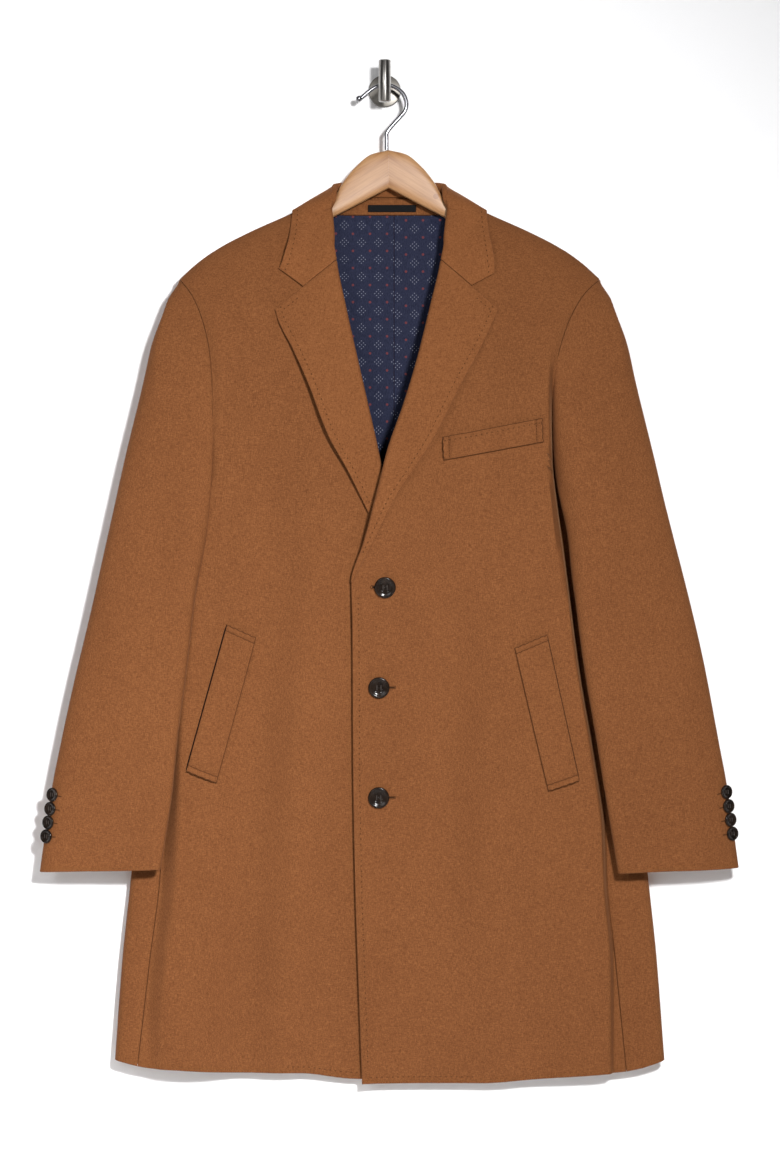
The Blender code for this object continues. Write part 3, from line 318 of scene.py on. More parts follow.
# The hanger's crown, by how far out it lies: its upper edge
Arm = namedtuple("Arm", "key top")
HANGER_CROWN = [
    Arm(0.0000, 0.0678),
    Arm(0.0185, 0.0722),
    Arm(0.0357, 0.0858),
    Arm(0.0510, 0.1050),
    Arm(0.0600, 0.1208),
    Arm(0.0670, 0.1240),
]

# The hook's wire: x and z of the points that it bends through
HOOK_PATH = [
    (0.0020, -0.0677),
    (0.0020, -0.0540),
    (0.0030, -0.0475),
    (0.0140, -0.0345),
    (0.0214, -0.0260),
    (0.0236, -0.0170),
    (0.0198, -0.0065),
    (0.0111, 0.0005),
    (0.0000, 0.0036),
    (-0.0090, 0.0012),
    (-0.0165, -0.0035),
    (-0.0247, -0.0103),
    (-0.0312, -0.0130),
]

# Soft folds of the cloth: middle, half width across, half length along, lean in degrees, and rise
Fold = namedtuple("Fold", "side out drop wide long lean rise")
FRONT_FOLDS = [
    Fold(LEFT, 0.094, 0.700, 0.024, 0.190, -4, 0.0070),
    Fold(LEFT, 0.145, 0.730, 0.026, 0.210, -4, -0.0066),
    Fold(LEFT, 0.113, 0.990, 0.026, 0.150, -4, 0.0064),
    Fold(LEFT, 0.160, 1.000, 0.026, 0.130, -4, -0.0050),
    Fold(LEFT, 0.120, 0.300, 0.040, 0.070, -20, 0.0022),
    Fold(LEFT, 0.110, 0.520, 0.030, 0.060, 40, -0.0018),
    Fold(RIGHT, 0.066, 0.680, 0.024, 0.170, 0, -0.0060),
    Fold(RIGHT, 0.112, 0.700, 0.024, 0.180, 2, 0.0060),
    Fold(RIGHT, 0.120, 0.960, 0.032, 0.120, -4, 0.0048),
    Fold(RIGHT, 0.105, 0.500, 0.026, 0.070, -30, -0.0018),
    Fold(RIGHT, 0.042, 0.405, 0.011, 0.080, 28, -0.0034),
    Fold(RIGHT, 0.185, 0.330, 0.060, 0.085, 8, 0.0075),
]

# The sinking of the front along the armhole seam
SEAM_SINK = {LEFT: 0.0020, RIGHT: 0.0042}
SEAM_SINK_WIDE = 0.0050
SEAM_SINK_STARTS = (0.215, 0.260)
SEAM_SINK_ENDS = (0.370, 0.430)

# How the sleeves are squared, eased and settled into the armholes
CUFF_OUTER = {LEFT: 0.8505, RIGHT: 0.8460}
CUFF_INNER = {LEFT: 0.8470, RIGHT: 0.8515}
SLEEVE_SQUARE_OUT = 0.70
SLEEVE_SQUARE_DEEP = 0.75
SLEEVE_GAP = 0.0003
SLEEVE_BACK_GAP = 0.0004
SLEEVE_RAISE = {LEFT: 0.0120, RIGHT: 0.0100}
OUTER_EASE = {LEFT: -0.0028, RIGHT: 0.0016}
OUTER_EASE_AT = (0.58, 0.10)
HEAD_EASE = 0.0025
HEAD_EASE_AT = (0.245, 0.025)
INNER_EASE = {LEFT: 0.0, RIGHT: 0.0150}
INNER_EASE_AT = (0.462, 0.050)
SETTLE_OUTER = 0.03
SETTLE_INNER = 0.37
DEEP_SETTLES = 0.8
LAID_SETTLES = 0.45
BEHIND_ARM = (184, 205)
LAID_OVER_FROM = (118, 150)
LAID_OVER_TO = (186, 212)

# The gorge, where the collar meets the lapels
NOTCH_STEP = 0.8
GORGE_EASE = 0.22
GORGE_GAP = 0.0004
GORGE_LEAF = np.linspace(0, 1, 80)[1:]
TURNS = np.linspace(-78, 90, 12)

# The rows and columns of the cloth's grids
FRONT_COLUMNS = np.concatenate([np.linspace(0, BEND_COLUMN, 34), np.linspace(BEND_COLUMN, 1, 30)[1:]])
BACK_FLAT = np.linspace(1, 0, 40)
LEAF = np.linspace(0, 1, 24)[1:]
COLLAR_SHARES = np.concatenate([np.linspace(0, 0.40, 22), np.linspace(0.40, 1.0, 40)[1:]])
COLLAR_STEPS = 31
LAPEL_ROWS = np.linspace(0, 1, 80)
SLEEVE_HALVES = {"top": np.linspace(0, 180, 61), "under": np.linspace(180, 360, 61)}
Rows = namedtuple("Rows", "share count power rest")
BODY_ROWS = Rows(0.105, 22, 1.8, 90)
SLEEVE_ROWS = Rows(0.13, 22, 1.5, 70)

# The neck facing, the back lining and the hang loop
FACING_DROPS = np.linspace(0.1196, 0.1366, 8)
FACING_OUTS = np.linspace(-0.0640, 0.0640, 30)
FACING_RISE = CLOTH + 4 * SEAM_GAP
LINING_DROPS = (0.1371, 1.0150)
LINING_REACH = 0.1660
LINING_BELOW_SHOULDER = 0.0120
LINING_SEAM = 0.0049
LINING_COLUMNS = 40
LINING_SHARES = np.concatenate([np.linspace(0, 0.22, 50), np.linspace(0.22, 1, 40)[1:]])
LINING_RISE = CLOTH / 2 + 3 * SEAM_GAP + LINING / 2
LOOP_OUTS = np.linspace(-0.0235, 0.0289, 26)
LOOP_DROPS = np.linspace(0.1258, 0.1335, 6)
LOOP_RISE = 1.5 * CLOTH + 6 * SEAM_GAP + LINING / 2

# The welts' rise and the bars at their ends
WELT_ENDS = {"chest_welt": ("first column", "last column")}
WELT_PUFF = 0.0016
WELT_LIP = 0.0010
BAR_INSET = 0.0070
BAR_SINK = 0.0016
BAR_WIDE = 0.0016
CHEST_COUNTS = (64, 26)
POCKET_COUNTS = (26, 76)
BAR_SPACING = 0.0030

# Pick stitching: the edges that have it, and between which shares of their points
PICK_INSET = 0.0072
PICK_SPACING = 0.0058
PICK_LENGTH = 0.0026
PICK_RADIUS = 0.00055
PICK_SUNK = 0.00016
THREAD_SIDES = 6
Pick = namedtuple("Pick", "node edge first last inset")
PICKS = [
    Pick("lapel_left", "last column", 0.0, 0.93, PICK_INSET),
    Pick("lapel_left", "first row", 0.72, 0.97, PICK_INSET),
    Pick("front_left", "last row", 0.02, 0.30, PICK_INSET),
    Pick("lapel_right", "last column", 0.0, 0.93, PICK_INSET),
    Pick("lapel_right", "first row", 0.72, 0.97, PICK_INSET),
    Pick("front_right", "last row", 0.02, 0.30, PICK_INSET),
    Pick("front_right", "first column", 0.50, 0.99, PICK_INSET),
    Pick("collar", "last column", 0.01, 0.27, PICK_INSET),
    Pick("collar", "last column", 0.73, 0.99, PICK_INSET),
    Pick("chest_welt", "first row", 0.0, 1.0, PICK_INSET * 0.7),
]

# Buttonholes, and the patch of sleeve at each cuff button
HOLE_EYE = 0.0017
HOLE_HALF_WIDE = 0.0009
LIP_RADIUS = 0.00070
FACE_STEP = 0.002
EYE_TURNS = np.radians(np.linspace(40, 320, 15))
LIP_STARTS = 0.002
BAR_REACH = 1.8
BAR_THICKER = 1.2
SLOT_START = 0.5
SLOT_SHARE = 0.7
SLOT_SUNK = 0.4
CUFF_STEPS = np.array([-0.004, 0, 0.004])
CUFF_BUTTON_TURNS = CUFF_BUTTON_ANGLE + np.array([-8, 0, 8])
CUFF_HOLE_TURNS = np.linspace(34, 43, 6)
HOLE_FROM = -0.0202
HOLE_TO = 0.0058
BUTTONHOLE_DROPS = tuple(button.drop for button in FRONT_BUTTONS)
LIP_COUNT = 14
BAR_COUNT = 5
SLOT_COUNT = 12
SLOT_SIDES = 8

# The painted shade line along each pocket's mouth, and the painted seam shadows round the welts
SLOT_RADIUS = {LEFT: 0.0009, RIGHT: 0.00028}
SLOT_BESIDE = 0.0006
WELT_SLOT_COUNT = 40
SLOT_ENDS = np.minimum(1, 8 * np.sin(np.linspace(0.02, math.pi - 0.02, WELT_SLOT_COUNT)))
SEAM_SHADOW_RADIUS = 0.00040
PUCKER = 0.00045
PUCKER_LENGTH = 0.0075

# A button's outline as shares of its radius and thickness, with its holes and thread
BUTTON_OUTLINE = [
    (0, 0),
    (0.80, 0),
    (0.94, 0.16),
    (1.00, 0.45),
    (0.985, 0.76),
    (0.94, 0.94),
    (0.87, 1.00),
    (0.79, 0.97),
    (0.71, 0.86),
    (0.64, 0.75),
    (0.50, 0.69),
    (0, 0.66),
]
HOLE_SHARE = 0.105
HOLE_PLACE = 0.19
THREAD_TOP = 0.72
THREAD_FOOT = 0.2
THREAD_SHARE = 0.75
BORE_SIDES = 12
BAR_STEPS = 12
BAR_SIDES = 8
FRONT_BUTTON_SIDES = 56
CUFF_BUTTON_SIDES = 40

# The roundings of the hanger, its wire and the wall hook
HANGER_ROUND = 0.008
HANGER_JOINT = 0.00001
CROWN_SQUARE = 0.62
ARM_ROUNDER = 0.36
ARM_ROUNDS = (0.050, 0.066)
WIRE_END = 0.05
WIRE_STEPS = 150
WIRE_SIDES = 20
HANGER_COUNT = 70
HANGER_TURNS = np.radians(np.arange(0, 360, 10) + 5)
HANGER_END_TURNS = np.radians([20, 40, 60, 75, 84])
BEVEL = 0.0008
BEVEL_BEND = 0.3
PLATE_SIDES = 72
POST_SIDES = 40
PEG_SIDES = 56

# The rounded edges of the cloth, and how meshes are shaded and turned
RIM_TURNS = np.radians([8, 34, 62, 90])
RIM_FURTHEST = 0.45
SMOOTH_TO = math.radians(50)
NEARLY_UPRIGHT = 0.9

# The wool's tones, the lining's repeat and the wood's grain and knot
WOOL_DARK = (0.095, 0.0315, 0.0095)
WOOL_MID = (0.156, 0.0560, 0.0180)
WOOL_LIGHT = (0.230, 0.0880, 0.0300)
REPEAT = 0.0186
RED_LEFT = (-0.0161, -0.1569)
RED_RIGHT = (0.0231, -0.1608)
RED_RADIUS = 0.0014
PALE_STEP = 0.0042
PALE_RADIUS = 0.20
PALE_REACH = 1.6
ARM_LEAN = 0.55
KNOT = (0.0554, 0.0, -0.1187)
KNOT_RADIUS = 0.0030

# Camera, room and lamps
CAMERA = (0.0057, -3.5, -0.5399)
LENS = 98.4
SENSOR = 36.0
KEY_SPREAD = math.radians(85)
COAT_MIDDLE = (0, 0, -0.5)
WORLD_LIGHT = 0.06
FLOOR_DROP = 1.45
ROOM_HALF_WIDE = 3
WALL_TOP = 2
FLOOR_FRONT = -4
FLOOR_BACK = 3
Lamp = namedtuple("Lamp", "name place aim size power")
LAMPS = [
    Lamp("key", (0.50, -2.40, 0.06), (-0.60, 0.0, -1.00), 0.25, 22.5),
    Lamp("fill", (-1.4, -3.6, 0.5), COAT_MIDDLE, 1.8, 35),
    Lamp("behind", (0.6, 2.4, 0.6), COAT_MIDDLE, 1.6, 55),
]


# Reading the tables, and the curves and lines used throughout


def read(rows, column, at):
    """A column of a table at any key, on a smooth curve that keeps the rows' own rises and falls."""
    keys = np.array([row.key for row in rows], dtype=float)
    values = np.array([getattr(row, column) for row in rows], dtype=float)
    steps = np.diff(keys)
    slopes = np.diff(values) / steps
    before = slopes[:-1]
    after = slopes[1:]
    total = np.where(before * after > 0, before + after, 1.0)
    middle = np.where(before * after > 0, 2 * before * after / total, 0.0)
    tangents = np.concatenate([slopes[:1], middle, slopes[-1:]])
    at = np.clip(np.asarray(at, dtype=float), keys[0], keys[-1])
    i = np.clip(np.searchsorted(keys, at) - 1, 0, len(steps) - 1)
    t = (at - keys[i]) / steps[i]
    start = values[i] * (1 + 2 * t) * (1 - t) ** 2 + values[i + 1] * t**2 * (3 - 2 * t)
    return start + steps[i] * (tangents[i] * t * (1 - t) ** 2 - tangents[i + 1] * t**2 * (1 - t))


def ease(low, high, at):
    """0 below low, 1 above high, and a smooth rise between."""
    t = np.clip((np.asarray(at, dtype=float) - low) / (high - low), 0, 1)
    return t * t * (3 - 2 * t)


def bell(at, middle, wide):
    """1 at the middle, falling away smoothly on both sides."""
    return np.exp(-(((at - middle) / wide) ** 2))


def quarter_round(t):
    """The rise of a quarter of an ellipse, from 0 to 1."""
    t = np.clip(t, 0, 1)
    return np.sqrt(1 - (1 - t) ** 2)


def world(x, deep, drop):
    x, deep, drop = np.broadcast_arrays(x, deep, drop)
    return np.stack([AXIS_X + x, -deep, -drop], axis=-1)


def lengths_along(points):
    """The length from a line's first point to each of its points."""
    return np.concatenate([[0], np.cumsum(np.linalg.norm(np.diff(points, axis=0), axis=1))])


def at_length(at, lengths, points):
    """The points of a line at given lengths along it."""
    return np.stack([np.interp(at, lengths, points[:, k]) for k in range(3)], axis=-1)


def normals_of(grid):
    """Unit normals of a grid of points, by the way its rows and columns run."""
    down = np.gradient(grid, axis=0)
    across = np.gradient(grid, axis=1)
    normal = np.cross(across, down)
    return normal / np.linalg.norm(normal, axis=-1, keepdims=True)


# The body's surfaces


def soft_folds(side, out, drop):
    """The rise of the soft folds on one side, at a place."""
    rise = np.zeros(np.broadcast(out, drop).shape)
    for fold in FRONT_FOLDS:
        if fold.side != side:
            continue
        lean = math.radians(fold.lean)
        across = (out - fold.out) * math.cos(lean) + (drop - fold.drop) * math.sin(lean)
        along = (drop - fold.drop) * math.cos(lean) - (out - fold.out) * math.sin(lean)
        rise = rise + fold.rise * np.exp(-((across / fold.wide) ** 2) - (along / fold.long) ** 2)
    return rise


def seam_sink(side, out, drop):
    """How far the cloth sinks along the front of the armhole seam."""
    seam = armhole_at(side, front_degrees(drop))[0]
    along = ease(*SEAM_SINK_STARTS, drop) * (1 - ease(*SEAM_SINK_ENDS, drop))
    return SEAM_SINK[side] * along * bell(out, seam, SEAM_SINK_WIDE)


def front_deep(side, out, drop):
    """How far the middle of a front's cloth stands off the wall."""
    below = drop - read(SHOULDER, "drop", out)
    ridge = RIDGE_DEEP + RIDGE_GAP
    deep = ridge + (read(BODY, "front", drop) - ridge) * quarter_round(below / FRONT_ROUND)
    grown = ease(HEM_FOLD_STARTS, HEM_FOLD_FULL, drop)
    deep = deep + HEM_FOLD[side] * bell(out, HEM_FOLD_OUT, HEM_FOLD_WIDE) * grown
    if side == RIGHT:
        shown = ease(LAP_STARTS, LAP_FULL, drop)
        spread = ((out - LIFT_X) / LIFT_WIDE) ** 2 + ((drop - LIFT_DROP) / LIFT_TALL) ** 2
        deep = deep + LAP * shown + LAP_LIFT * np.exp(-spread)
        curled = ease(BREAK_DROP, BREAK_DROP + CURL_GROWS, drop)
        deep = deep + CURL * bell(out, read(FRONT_EDGE, "right", drop), CURL_WIDE) * curled
    edge = dip_edge(side, drop)
    dip = ease(edge - DIP_WIDE[side], edge, out) * ease(DIP_STARTS[side], DIP_FULL, drop)
    floor = read(BODY, "floor_" + NAMES[side], drop)
    deep = deep + (floor - deep) * dip
    return deep + soft_folds(side, out, drop) - seam_sink(side, out, drop)


def back_deep(out, drop):
    """How far the middle of the back's cloth stands off the wall, inside the side fold."""
    back = read(BODY, "back", drop)
    ridge = back + (RIDGE_DEEP - RIDGE_GAP - back) * ease(BACK_NECK_OUT, BACK_NECK_TURN, out)
    below = drop - read(SHOULDER, "drop", out)
    deep = back + (ridge - back) * (1 - quarter_round(below / BACK_ROUND))
    fold = read(BODY, "fold", drop)
    lifted = read(BODY, "turn", drop) - fold_radius(drop)
    return deep + np.maximum(lifted - back, 0) * ease(BACK_LIFT_FROM, 1.0, out / fold)


def fold_radius(drop):
    return np.minimum(read(BODY, "turn", drop) - read(BODY, "back", drop), FOLD_RADIUS)


def hem_drop(side, out):
    return read(HEM, NAMES[side], out)


def armhole_at(side, degrees):
    out = read(ARMHOLE, "out_" + NAMES[side], degrees)
    return out, read(ARMHOLE, "drop", degrees)


def front_edge(side, drop):
    """The inner edge of a front: behind the rolls of lapel and collar, then the front edge itself."""
    edge = read(FRONT_EDGE, NAMES[side], drop)
    rolled = 1 - ease(ROLL_ENDS, BREAK_DROP, drop)
    return edge + (ROLL_BEHIND * roll_radius(drop) + CLOTH / 2 + ROLL_GAP) * rolled


def roll_radius(drop):
    """The bend of a lapel's roll, which tightens towards the break."""
    return ROLL_RADIUS - (ROLL_RADIUS - ROLL_TAIL) * ease(ROLL_NARROWS, BREAK_DROP, drop)


def side_seam(side, drop):
    return read(BODY, "seam_" + NAMES[side], drop)


def below_underarm(drop):
    return drop > UNDERARM_DROP - NEARLY


def hem_ends(side):
    """The drop of the hem at the front edge, at the side seam and at the centre back."""
    seam = side_seam(side, HEM_FOLD_FULL)
    centre_back = (hem_drop(LEFT, 0.0) + hem_drop(RIGHT, 0.0)) / 2
    front = hem_drop(side, front_edge(side, HEM_FOLD_FULL))
    return [float(front), float(hem_drop(side, seam)), float(centre_back)]


def side_drops(side, rows):
    """The drop of each row at the armhole or the side seam."""
    return SHOULDER_DROP + (hem_ends(side)[1] - SHOULDER_DROP) * rows


def dip_edge(side, drop):
    """How far out the front has turned back behind the sleeve."""
    inner = read(SLEEVE, "inner_" + NAMES[side], drop)
    seam = side_seam(side, drop)
    under = inner - DIP_INSIDE[side]
    sewn = seam - SEAM_GAP
    return np.minimum(under, sewn) - DIP_SOFT * np.log1p(np.exp(-np.abs(under - sewn) / DIP_SOFT))


def shoulder_bend(along, start):
    """How far the shoulder line lies below a straight one, by the share of the way from start to its end."""
    top = read(SHOULDER, "drop", start)
    straight = top + (SHOULDER_DROP - top) * along
    return read(SHOULDER, "drop", start + (SHOULDER_OUT - start) * along) - straight


def hem_bend(side, along, start, end):
    """How far the hem lies below a straight one between two places."""
    first = hem_drop(side, start)
    straight = first + (hem_drop(side, end) - first) * along
    return hem_drop(side, start + (end - start) * along) - straight


def front_grid(side, columns, rows):
    """A front from the roll line or front edge out to the armhole and the side seam."""
    hem_in = hem_ends(side)[0]
    grid = []
    for q, drop_out in zip(rows, side_drops(side, rows)):
        drop_in = NECK_DROP + (hem_in - NECK_DROP) * q
        inner = float(front_edge(side, drop_in))
        if drop_out < UNDERARM_DROP:
            outer = float(armhole_at(side, front_degrees(drop_out))[0])
        else:
            outer = float(side_seam(side, drop_out))
        outer -= SEAM_GAP / 2
        start = float(dip_edge(side, drop_out))
        bend = min(start - DIP_WIDE[side], inner + BEND_FURTHEST * (outer - inner))
        floor = min(start + SEAM_GAP, inner + FLOOR_FURTHEST * (outer - inner))
        out = np.interp(columns, [0, BEND_COLUMN, FLOOR_COLUMN, 1], [inner, bend, floor, outer])
        along = (out - inner) / (outer - inner)
        drop = drop_in + (drop_out - drop_in) * along
        drop = drop + shoulder_bend(along, NECK_OUT) * (1 - q) ** ROW_BEND
        drop = drop + hem_bend(side, along, inner, outer) * q**ROW_BEND
        grid.append(world(side * out, front_deep(side, out, drop), drop))
    return np.array(grid)


def front_degrees(drop):
    """The place on the front half of the armhole at a drop."""
    return np.interp(drop, ARMHOLE_FRONT_DROPS, ARMHOLE_FRONT_DEGREES)


def back_degrees(drop):
    """The place on the back half of the armhole at a drop."""
    return np.interp(drop, ARMHOLE_BACK_DROPS, ARMHOLE_BACK_DEGREES)


ARMHOLE_FRONT_DEGREES = np.linspace(0, 180, 181)
ARMHOLE_FRONT_DROPS = read(ARMHOLE, "drop", ARMHOLE_FRONT_DEGREES)
ARMHOLE_BACK_DEGREES = np.linspace(360, 180, 181)
ARMHOLE_BACK_DROPS = read(ARMHOLE, "drop", ARMHOLE_BACK_DEGREES)


def around_fold(side, drop, outer, middle):
    """A back's way from the side seam to behind the side fold, as out, drop and deep."""
    turn = float(read(BODY, "turn", drop))
    radius = float(fold_radius(drop))
    first = 90.0
    if outer > middle:
        first = math.degrees(math.acos(min((outer - middle) / radius, 1)))
        starts = np.radians([first, first - SEAM_STEP])
        points = [(middle + radius * math.cos(tilt), turn + radius * math.sin(tilt)) for tilt in starts]
    else:
        seam_deep = float(front_deep(side, np.array(outer), np.array(drop)))
        points = [(outer, seam_deep), ((outer + middle) / 2, (seam_deep + turn + radius) / 2)]
    for angle in np.linspace(min(first - FOLD_CLEAR, FOLD_STARTS), FOLD_ENDS, AROUND_COUNT - 2):
        tilt = math.radians(angle)
        points.append((middle + radius * math.cos(tilt), turn + radius * math.sin(tilt)))
    return np.array([(out, drop, deep) for out, deep in points])


def back_row(side, q, drop_out, outer, flat):
    """One row of a back: from the armhole or the side seam to the centre back, as out, drop and deep."""
    hem_in = hem_ends(side)[2]
    drop_in = BACK_NECK_DROP + (hem_in - BACK_NECK_DROP) * q
    wraps = below_underarm(drop_out)
    start = outer
    if wraps:
        start = float(read(BODY, "fold", drop_out) - fold_radius(drop_out))
    out = start * flat + SEAM_GAP / 2 * (1 - flat)
    drop = drop_in + (drop_out - drop_in) * flat
    drop = drop + shoulder_bend(flat, 0.0) * (1 - q) ** ROW_BEND
    drop = drop + hem_bend(side, flat, 0.0, start) * q**ROW_BEND
    path = np.stack([out, drop, back_deep(out, drop)], axis=1)
    if wraps:
        around = around_fold(side, drop_out, outer, start)
        around[:, 1] += (hem_drop(side, around[:, 0]) - hem_drop(side, outer)) * q**ROW_BEND
        path[:, 1] += (hem_drop(side, start) - hem_drop(side, outer)) * flat * q**ROW_BEND
        return np.concatenate([around, path])
    share = np.linspace(0, 1, AROUND_COUNT + 1)[:-1, None]
    return np.concatenate([path[0] + (path[1] - path[0]) * share, path[1:]])


def back_grid(side, flat, rows):
    """A back from the armhole and the side seam to the centre back."""
    grid = []
    for q, drop_out in zip(rows, side_drops(side, rows)):
        if below_underarm(drop_out):
            seam = float(side_seam(side, drop_out))
            outer = seam + SIDE_SEAM_GAP - SEAM_GAP / 2
            shape = flat
        else:
            outer = float(armhole_at(side, back_degrees(drop_out))[0])
            shape = np.concatenate([[1.0, ARMHOLE_STEP], flat[1:]])
        row = back_row(side, q, drop_out, outer, shape)
        grid.append(world(side * row[:, 0], row[:, 2], row[:, 1]))
    return np.array(grid)


# The sleeves, lapels and collar


def power_round(value, power):
    return np.sign(value) * np.abs(value) ** power


def armhole_deep(side, degrees, out, drop):
    """The depth of the armhole seam, on the front as far as the underarm and then on the back."""
    if degrees <= 180:
        return float(front_deep(side, np.array(out), np.array(drop)))
    underarm = float(front_deep(side, np.array(UNDERARM_OUT), np.array(UNDERARM_DROP)))
    behind = float(back_deep(np.array(out), np.array(drop)))
    return underarm + (behind - underarm) * float(ease(*BEHIND_ARM, degrees))


def sleeve_grid(side, degrees, rows):
    """A sleeve from the armhole to the cuff: rows run down it and columns run round it."""
    columns = []
    for place in degrees:
        whole = place % 360
        out_0, drop_0 = (float(value) for value in armhole_at(side, whole))
        laid_over = float(ease(*LAID_OVER_FROM, whole) * (1 - ease(*LAID_OVER_TO, whole)))
        deep_0 = armhole_deep(side, whole, out_0, drop_0) + (CLOTH + SLEEVE_GAP) * laid_over
        out_0 += (SLEEVE_GAP if whole <= 180 else SLEEVE_BACK_GAP) * (1 - laid_over)
        ring = math.radians(float(read(ARMHOLE, "ring", whole)))
        across = math.cos(ring)
        toward = math.sin(ring)
        cuff = CUFF_INNER[side] + (CUFF_OUTER[side] - CUFF_INNER[side]) * (1 + across) / 2
        drop = drop_0 + (cuff - drop_0) * rows
        outer = read(SLEEVE, "outer", drop) + OUTER_EASE[side] * bell(drop, *OUTER_EASE_AT)
        outer = outer - HEAD_EASE * bell(drop, *HEAD_EASE_AT)
        inner = read(SLEEVE, "inner_" + NAMES[side], drop)
        inner = inner + INNER_EASE[side] * bell(drop, *INNER_EASE_AT)
        front = read(SLEEVE, "front", drop)
        back = read(SLEEVE, "back", drop)
        ring_out = (outer + inner) / 2 + (outer - inner) / 2 * power_round(across, SLEEVE_SQUARE_OUT)
        ring_deep = (front + back) / 2 + (front - back) / 2 * power_round(toward, SLEEVE_SQUARE_DEEP)
        settles = SETTLE_OUTER + (SETTLE_INNER - SETTLE_OUTER) * (1 - across) / 2
        t = np.clip(rows / settles, 0, 1)
        quick = 1 - (1 - t) ** 3
        share = ease(0, 1, t) + (quick - ease(0, 1, t)) * max(across, 0) ** 4
        out = out_0 + (ring_out - out_0) * share
        deep_settles = settles * (DEEP_SETTLES - LAID_SETTLES * laid_over)
        deep = deep_0 + (ring_deep - deep_0) * ease(0, deep_settles, rows)
        deep = deep + SLEEVE_RAISE[side] * ((1 - across) / 2) ** 2 * ease(0, settles, rows)
        columns.append(world(side * out, deep, drop))
    return np.stack(columns, axis=1)


def lapel_row(side, q, turns, leaf):
    """One row of a lapel: round the roll line from behind, then over the front to the lapel's own edge."""
    column = NAMES[side]
    roll_drop = GORGE_DROP + SEAM_GAP + (BREAK_DROP - GORGE_DROP) * q
    edge_drop = roll_drop + PEAK_BELOW * (1 - ease(0, PEAK_FADES, q)) - END_ABOVE * q
    radius = float(roll_radius(roll_drop))
    roll = np.array([float(read(FRONT_EDGE, column, roll_drop)), roll_drop])
    edge = np.array([float(read(LAPEL_EDGE, column, edge_drop)), edge_drop])
    along = (edge - roll) / np.linalg.norm(edge - roll)
    centre = roll + along * (radius + CLOTH / 2)
    seat = front_deep(side, centre[0], centre[1])
    row = []
    for angle in turns:
        tilt = math.radians(angle)
        out, drop = centre - along * radius * math.cos(tilt)
        row.append(world(side * out, seat + radius * (1 + math.sin(tilt)), drop))
    tip = CLOTH + LAPEL_GAP + LAPEL_STANDS[side] * math.sin(math.pi * min(q * LAPEL_STANDS_BY, 1))
    for s in leaf:
        out, drop = centre + (edge - centre) * s
        stands = 2 * radius + (tip - 2 * radius) * float(ease(0, 1, s))
        row.append(world(side * out, front_deep(side, out, drop) + stands, drop))
    return row


def lapel_grid(side, turns, leaf, rows):
    return np.array([lapel_row(side, q, turns, leaf) for q in rows])


def spline(points, steps):
    """Points at even steps along a smooth curve through the given ones."""
    points = np.array(points)
    padded = np.concatenate([[2 * points[0] - points[1]], points, [2 * points[-1] - points[-2]]])
    found = []
    for at in np.linspace(0, len(points) - 1, steps):
        i = min(int(at), len(points) - 2)
        t = at - i
        a, b, c, d = padded[i : i + 4]
        bend = (2 * a - 5 * b + 4 * c - d) * t + (3 * b - a - 3 * c + d) * t * t
        found.append(b + 0.5 * t * (c - a + bend))
    return np.array(found)


def collar_row(side, share, steps):
    """One section of the collar: up the stand, over the fold and down the leaf."""
    row = {name: float(read(COLLAR, name, share)) for name in Collar._fields[1:]}
    base = np.array([row["base_out"], row["base_drop"], row["base_deep"]])
    crest = np.array([row["crest_out"], row["crest_drop"], row["crest_deep"]])
    edge = np.array([row["edge_out"], row["edge_drop"], row["edge_deep"]])
    behind = float(ease(*COLLAR_GOES_BEHIND, share))
    roll = float(read(FRONT_EDGE, NAMES[side], crest[1])) + CLOTH / 2
    seat = float(front_deep(side, np.array(roll + ROLL_RADIUS), np.array(crest[1])))
    front_base = np.array([roll + ROLL_RADIUS, crest[1], seat])
    front_crest = np.array([roll, crest[1], seat + COLLAR_FOLD])
    base = front_base + (base - front_base) * behind
    crest = front_crest + (crest - front_crest) * behind
    end = max(0.0, 1 - share / COLLAR_END) ** 2
    edge[:2] += (np.array([TIP_OUT[side], TIP_DROP[side]]) - edge[:2]) * end
    quarters = float(ease(*COLLAR_SWINGS_OUT, share)), float(ease(*COLLAR_SWINGS_BACK, share))
    swing = math.radians(90 * quarters[0] + 90 * quarters[1])
    leaf_way = np.array([math.sin(swing), 0, math.cos(swing)])
    lift = float(ease(*COLLAR_RISES, share))
    up = np.array([lift - 1, -lift, 0.0])
    up /= np.linalg.norm(up)
    inside = crest - (up + leaf_way) * COLLAR_FOLD
    outside = crest - (up - leaf_way) * COLLAR_FOLD
    middle = (outside + edge) / 2 + np.array([0.5, -0.5, math.cos(swing)]) * row["swell"]
    notch = np.array([NOTCH_OUT[side], NOTCH_DROP[side], edge[2]])
    middle += (notch - middle) * end
    for point in (middle, edge):
        seated = float(front_deep(side, point[0], point[1])) + CLOTH + COLLAR_FRONT_GAP
        point[2] += (seated - point[2]) * (1 - float(ease(*COLLAR_LEAVES_FRONT, share)))
        point[2] = max(point[2], seated - COLLAR_FALL * float(ease(*COLLAR_FALLS, share)))
        if share > COLLAR_MEETS_BACK:
            limit = float(back_deep(point[0], point[1])) - CLOTH - COLLAR_BACK_GAP
            point[2] = min(point[2], limit)
    edge[2] += COLLAR_LIFT * (1 - float(ease(*COLLAR_LIFT_FADES, share)))
    if share < COLLAR_STANDS_FROM:
        path = [base, crest, outside, (outside + middle) / 2, middle, edge]
    else:
        path = [base, inside, crest, outside, middle, edge]
    path = spline(path, steps)
    return world(side * path[:, 0], path[:, 2], path[:, 1])


def along_line(points, count):
    """Points at even lengths along a line of points."""
    points = np.array(points)
    lengths = lengths_along(points)
    return at_length(np.linspace(0, lengths[-1], count), lengths, points)


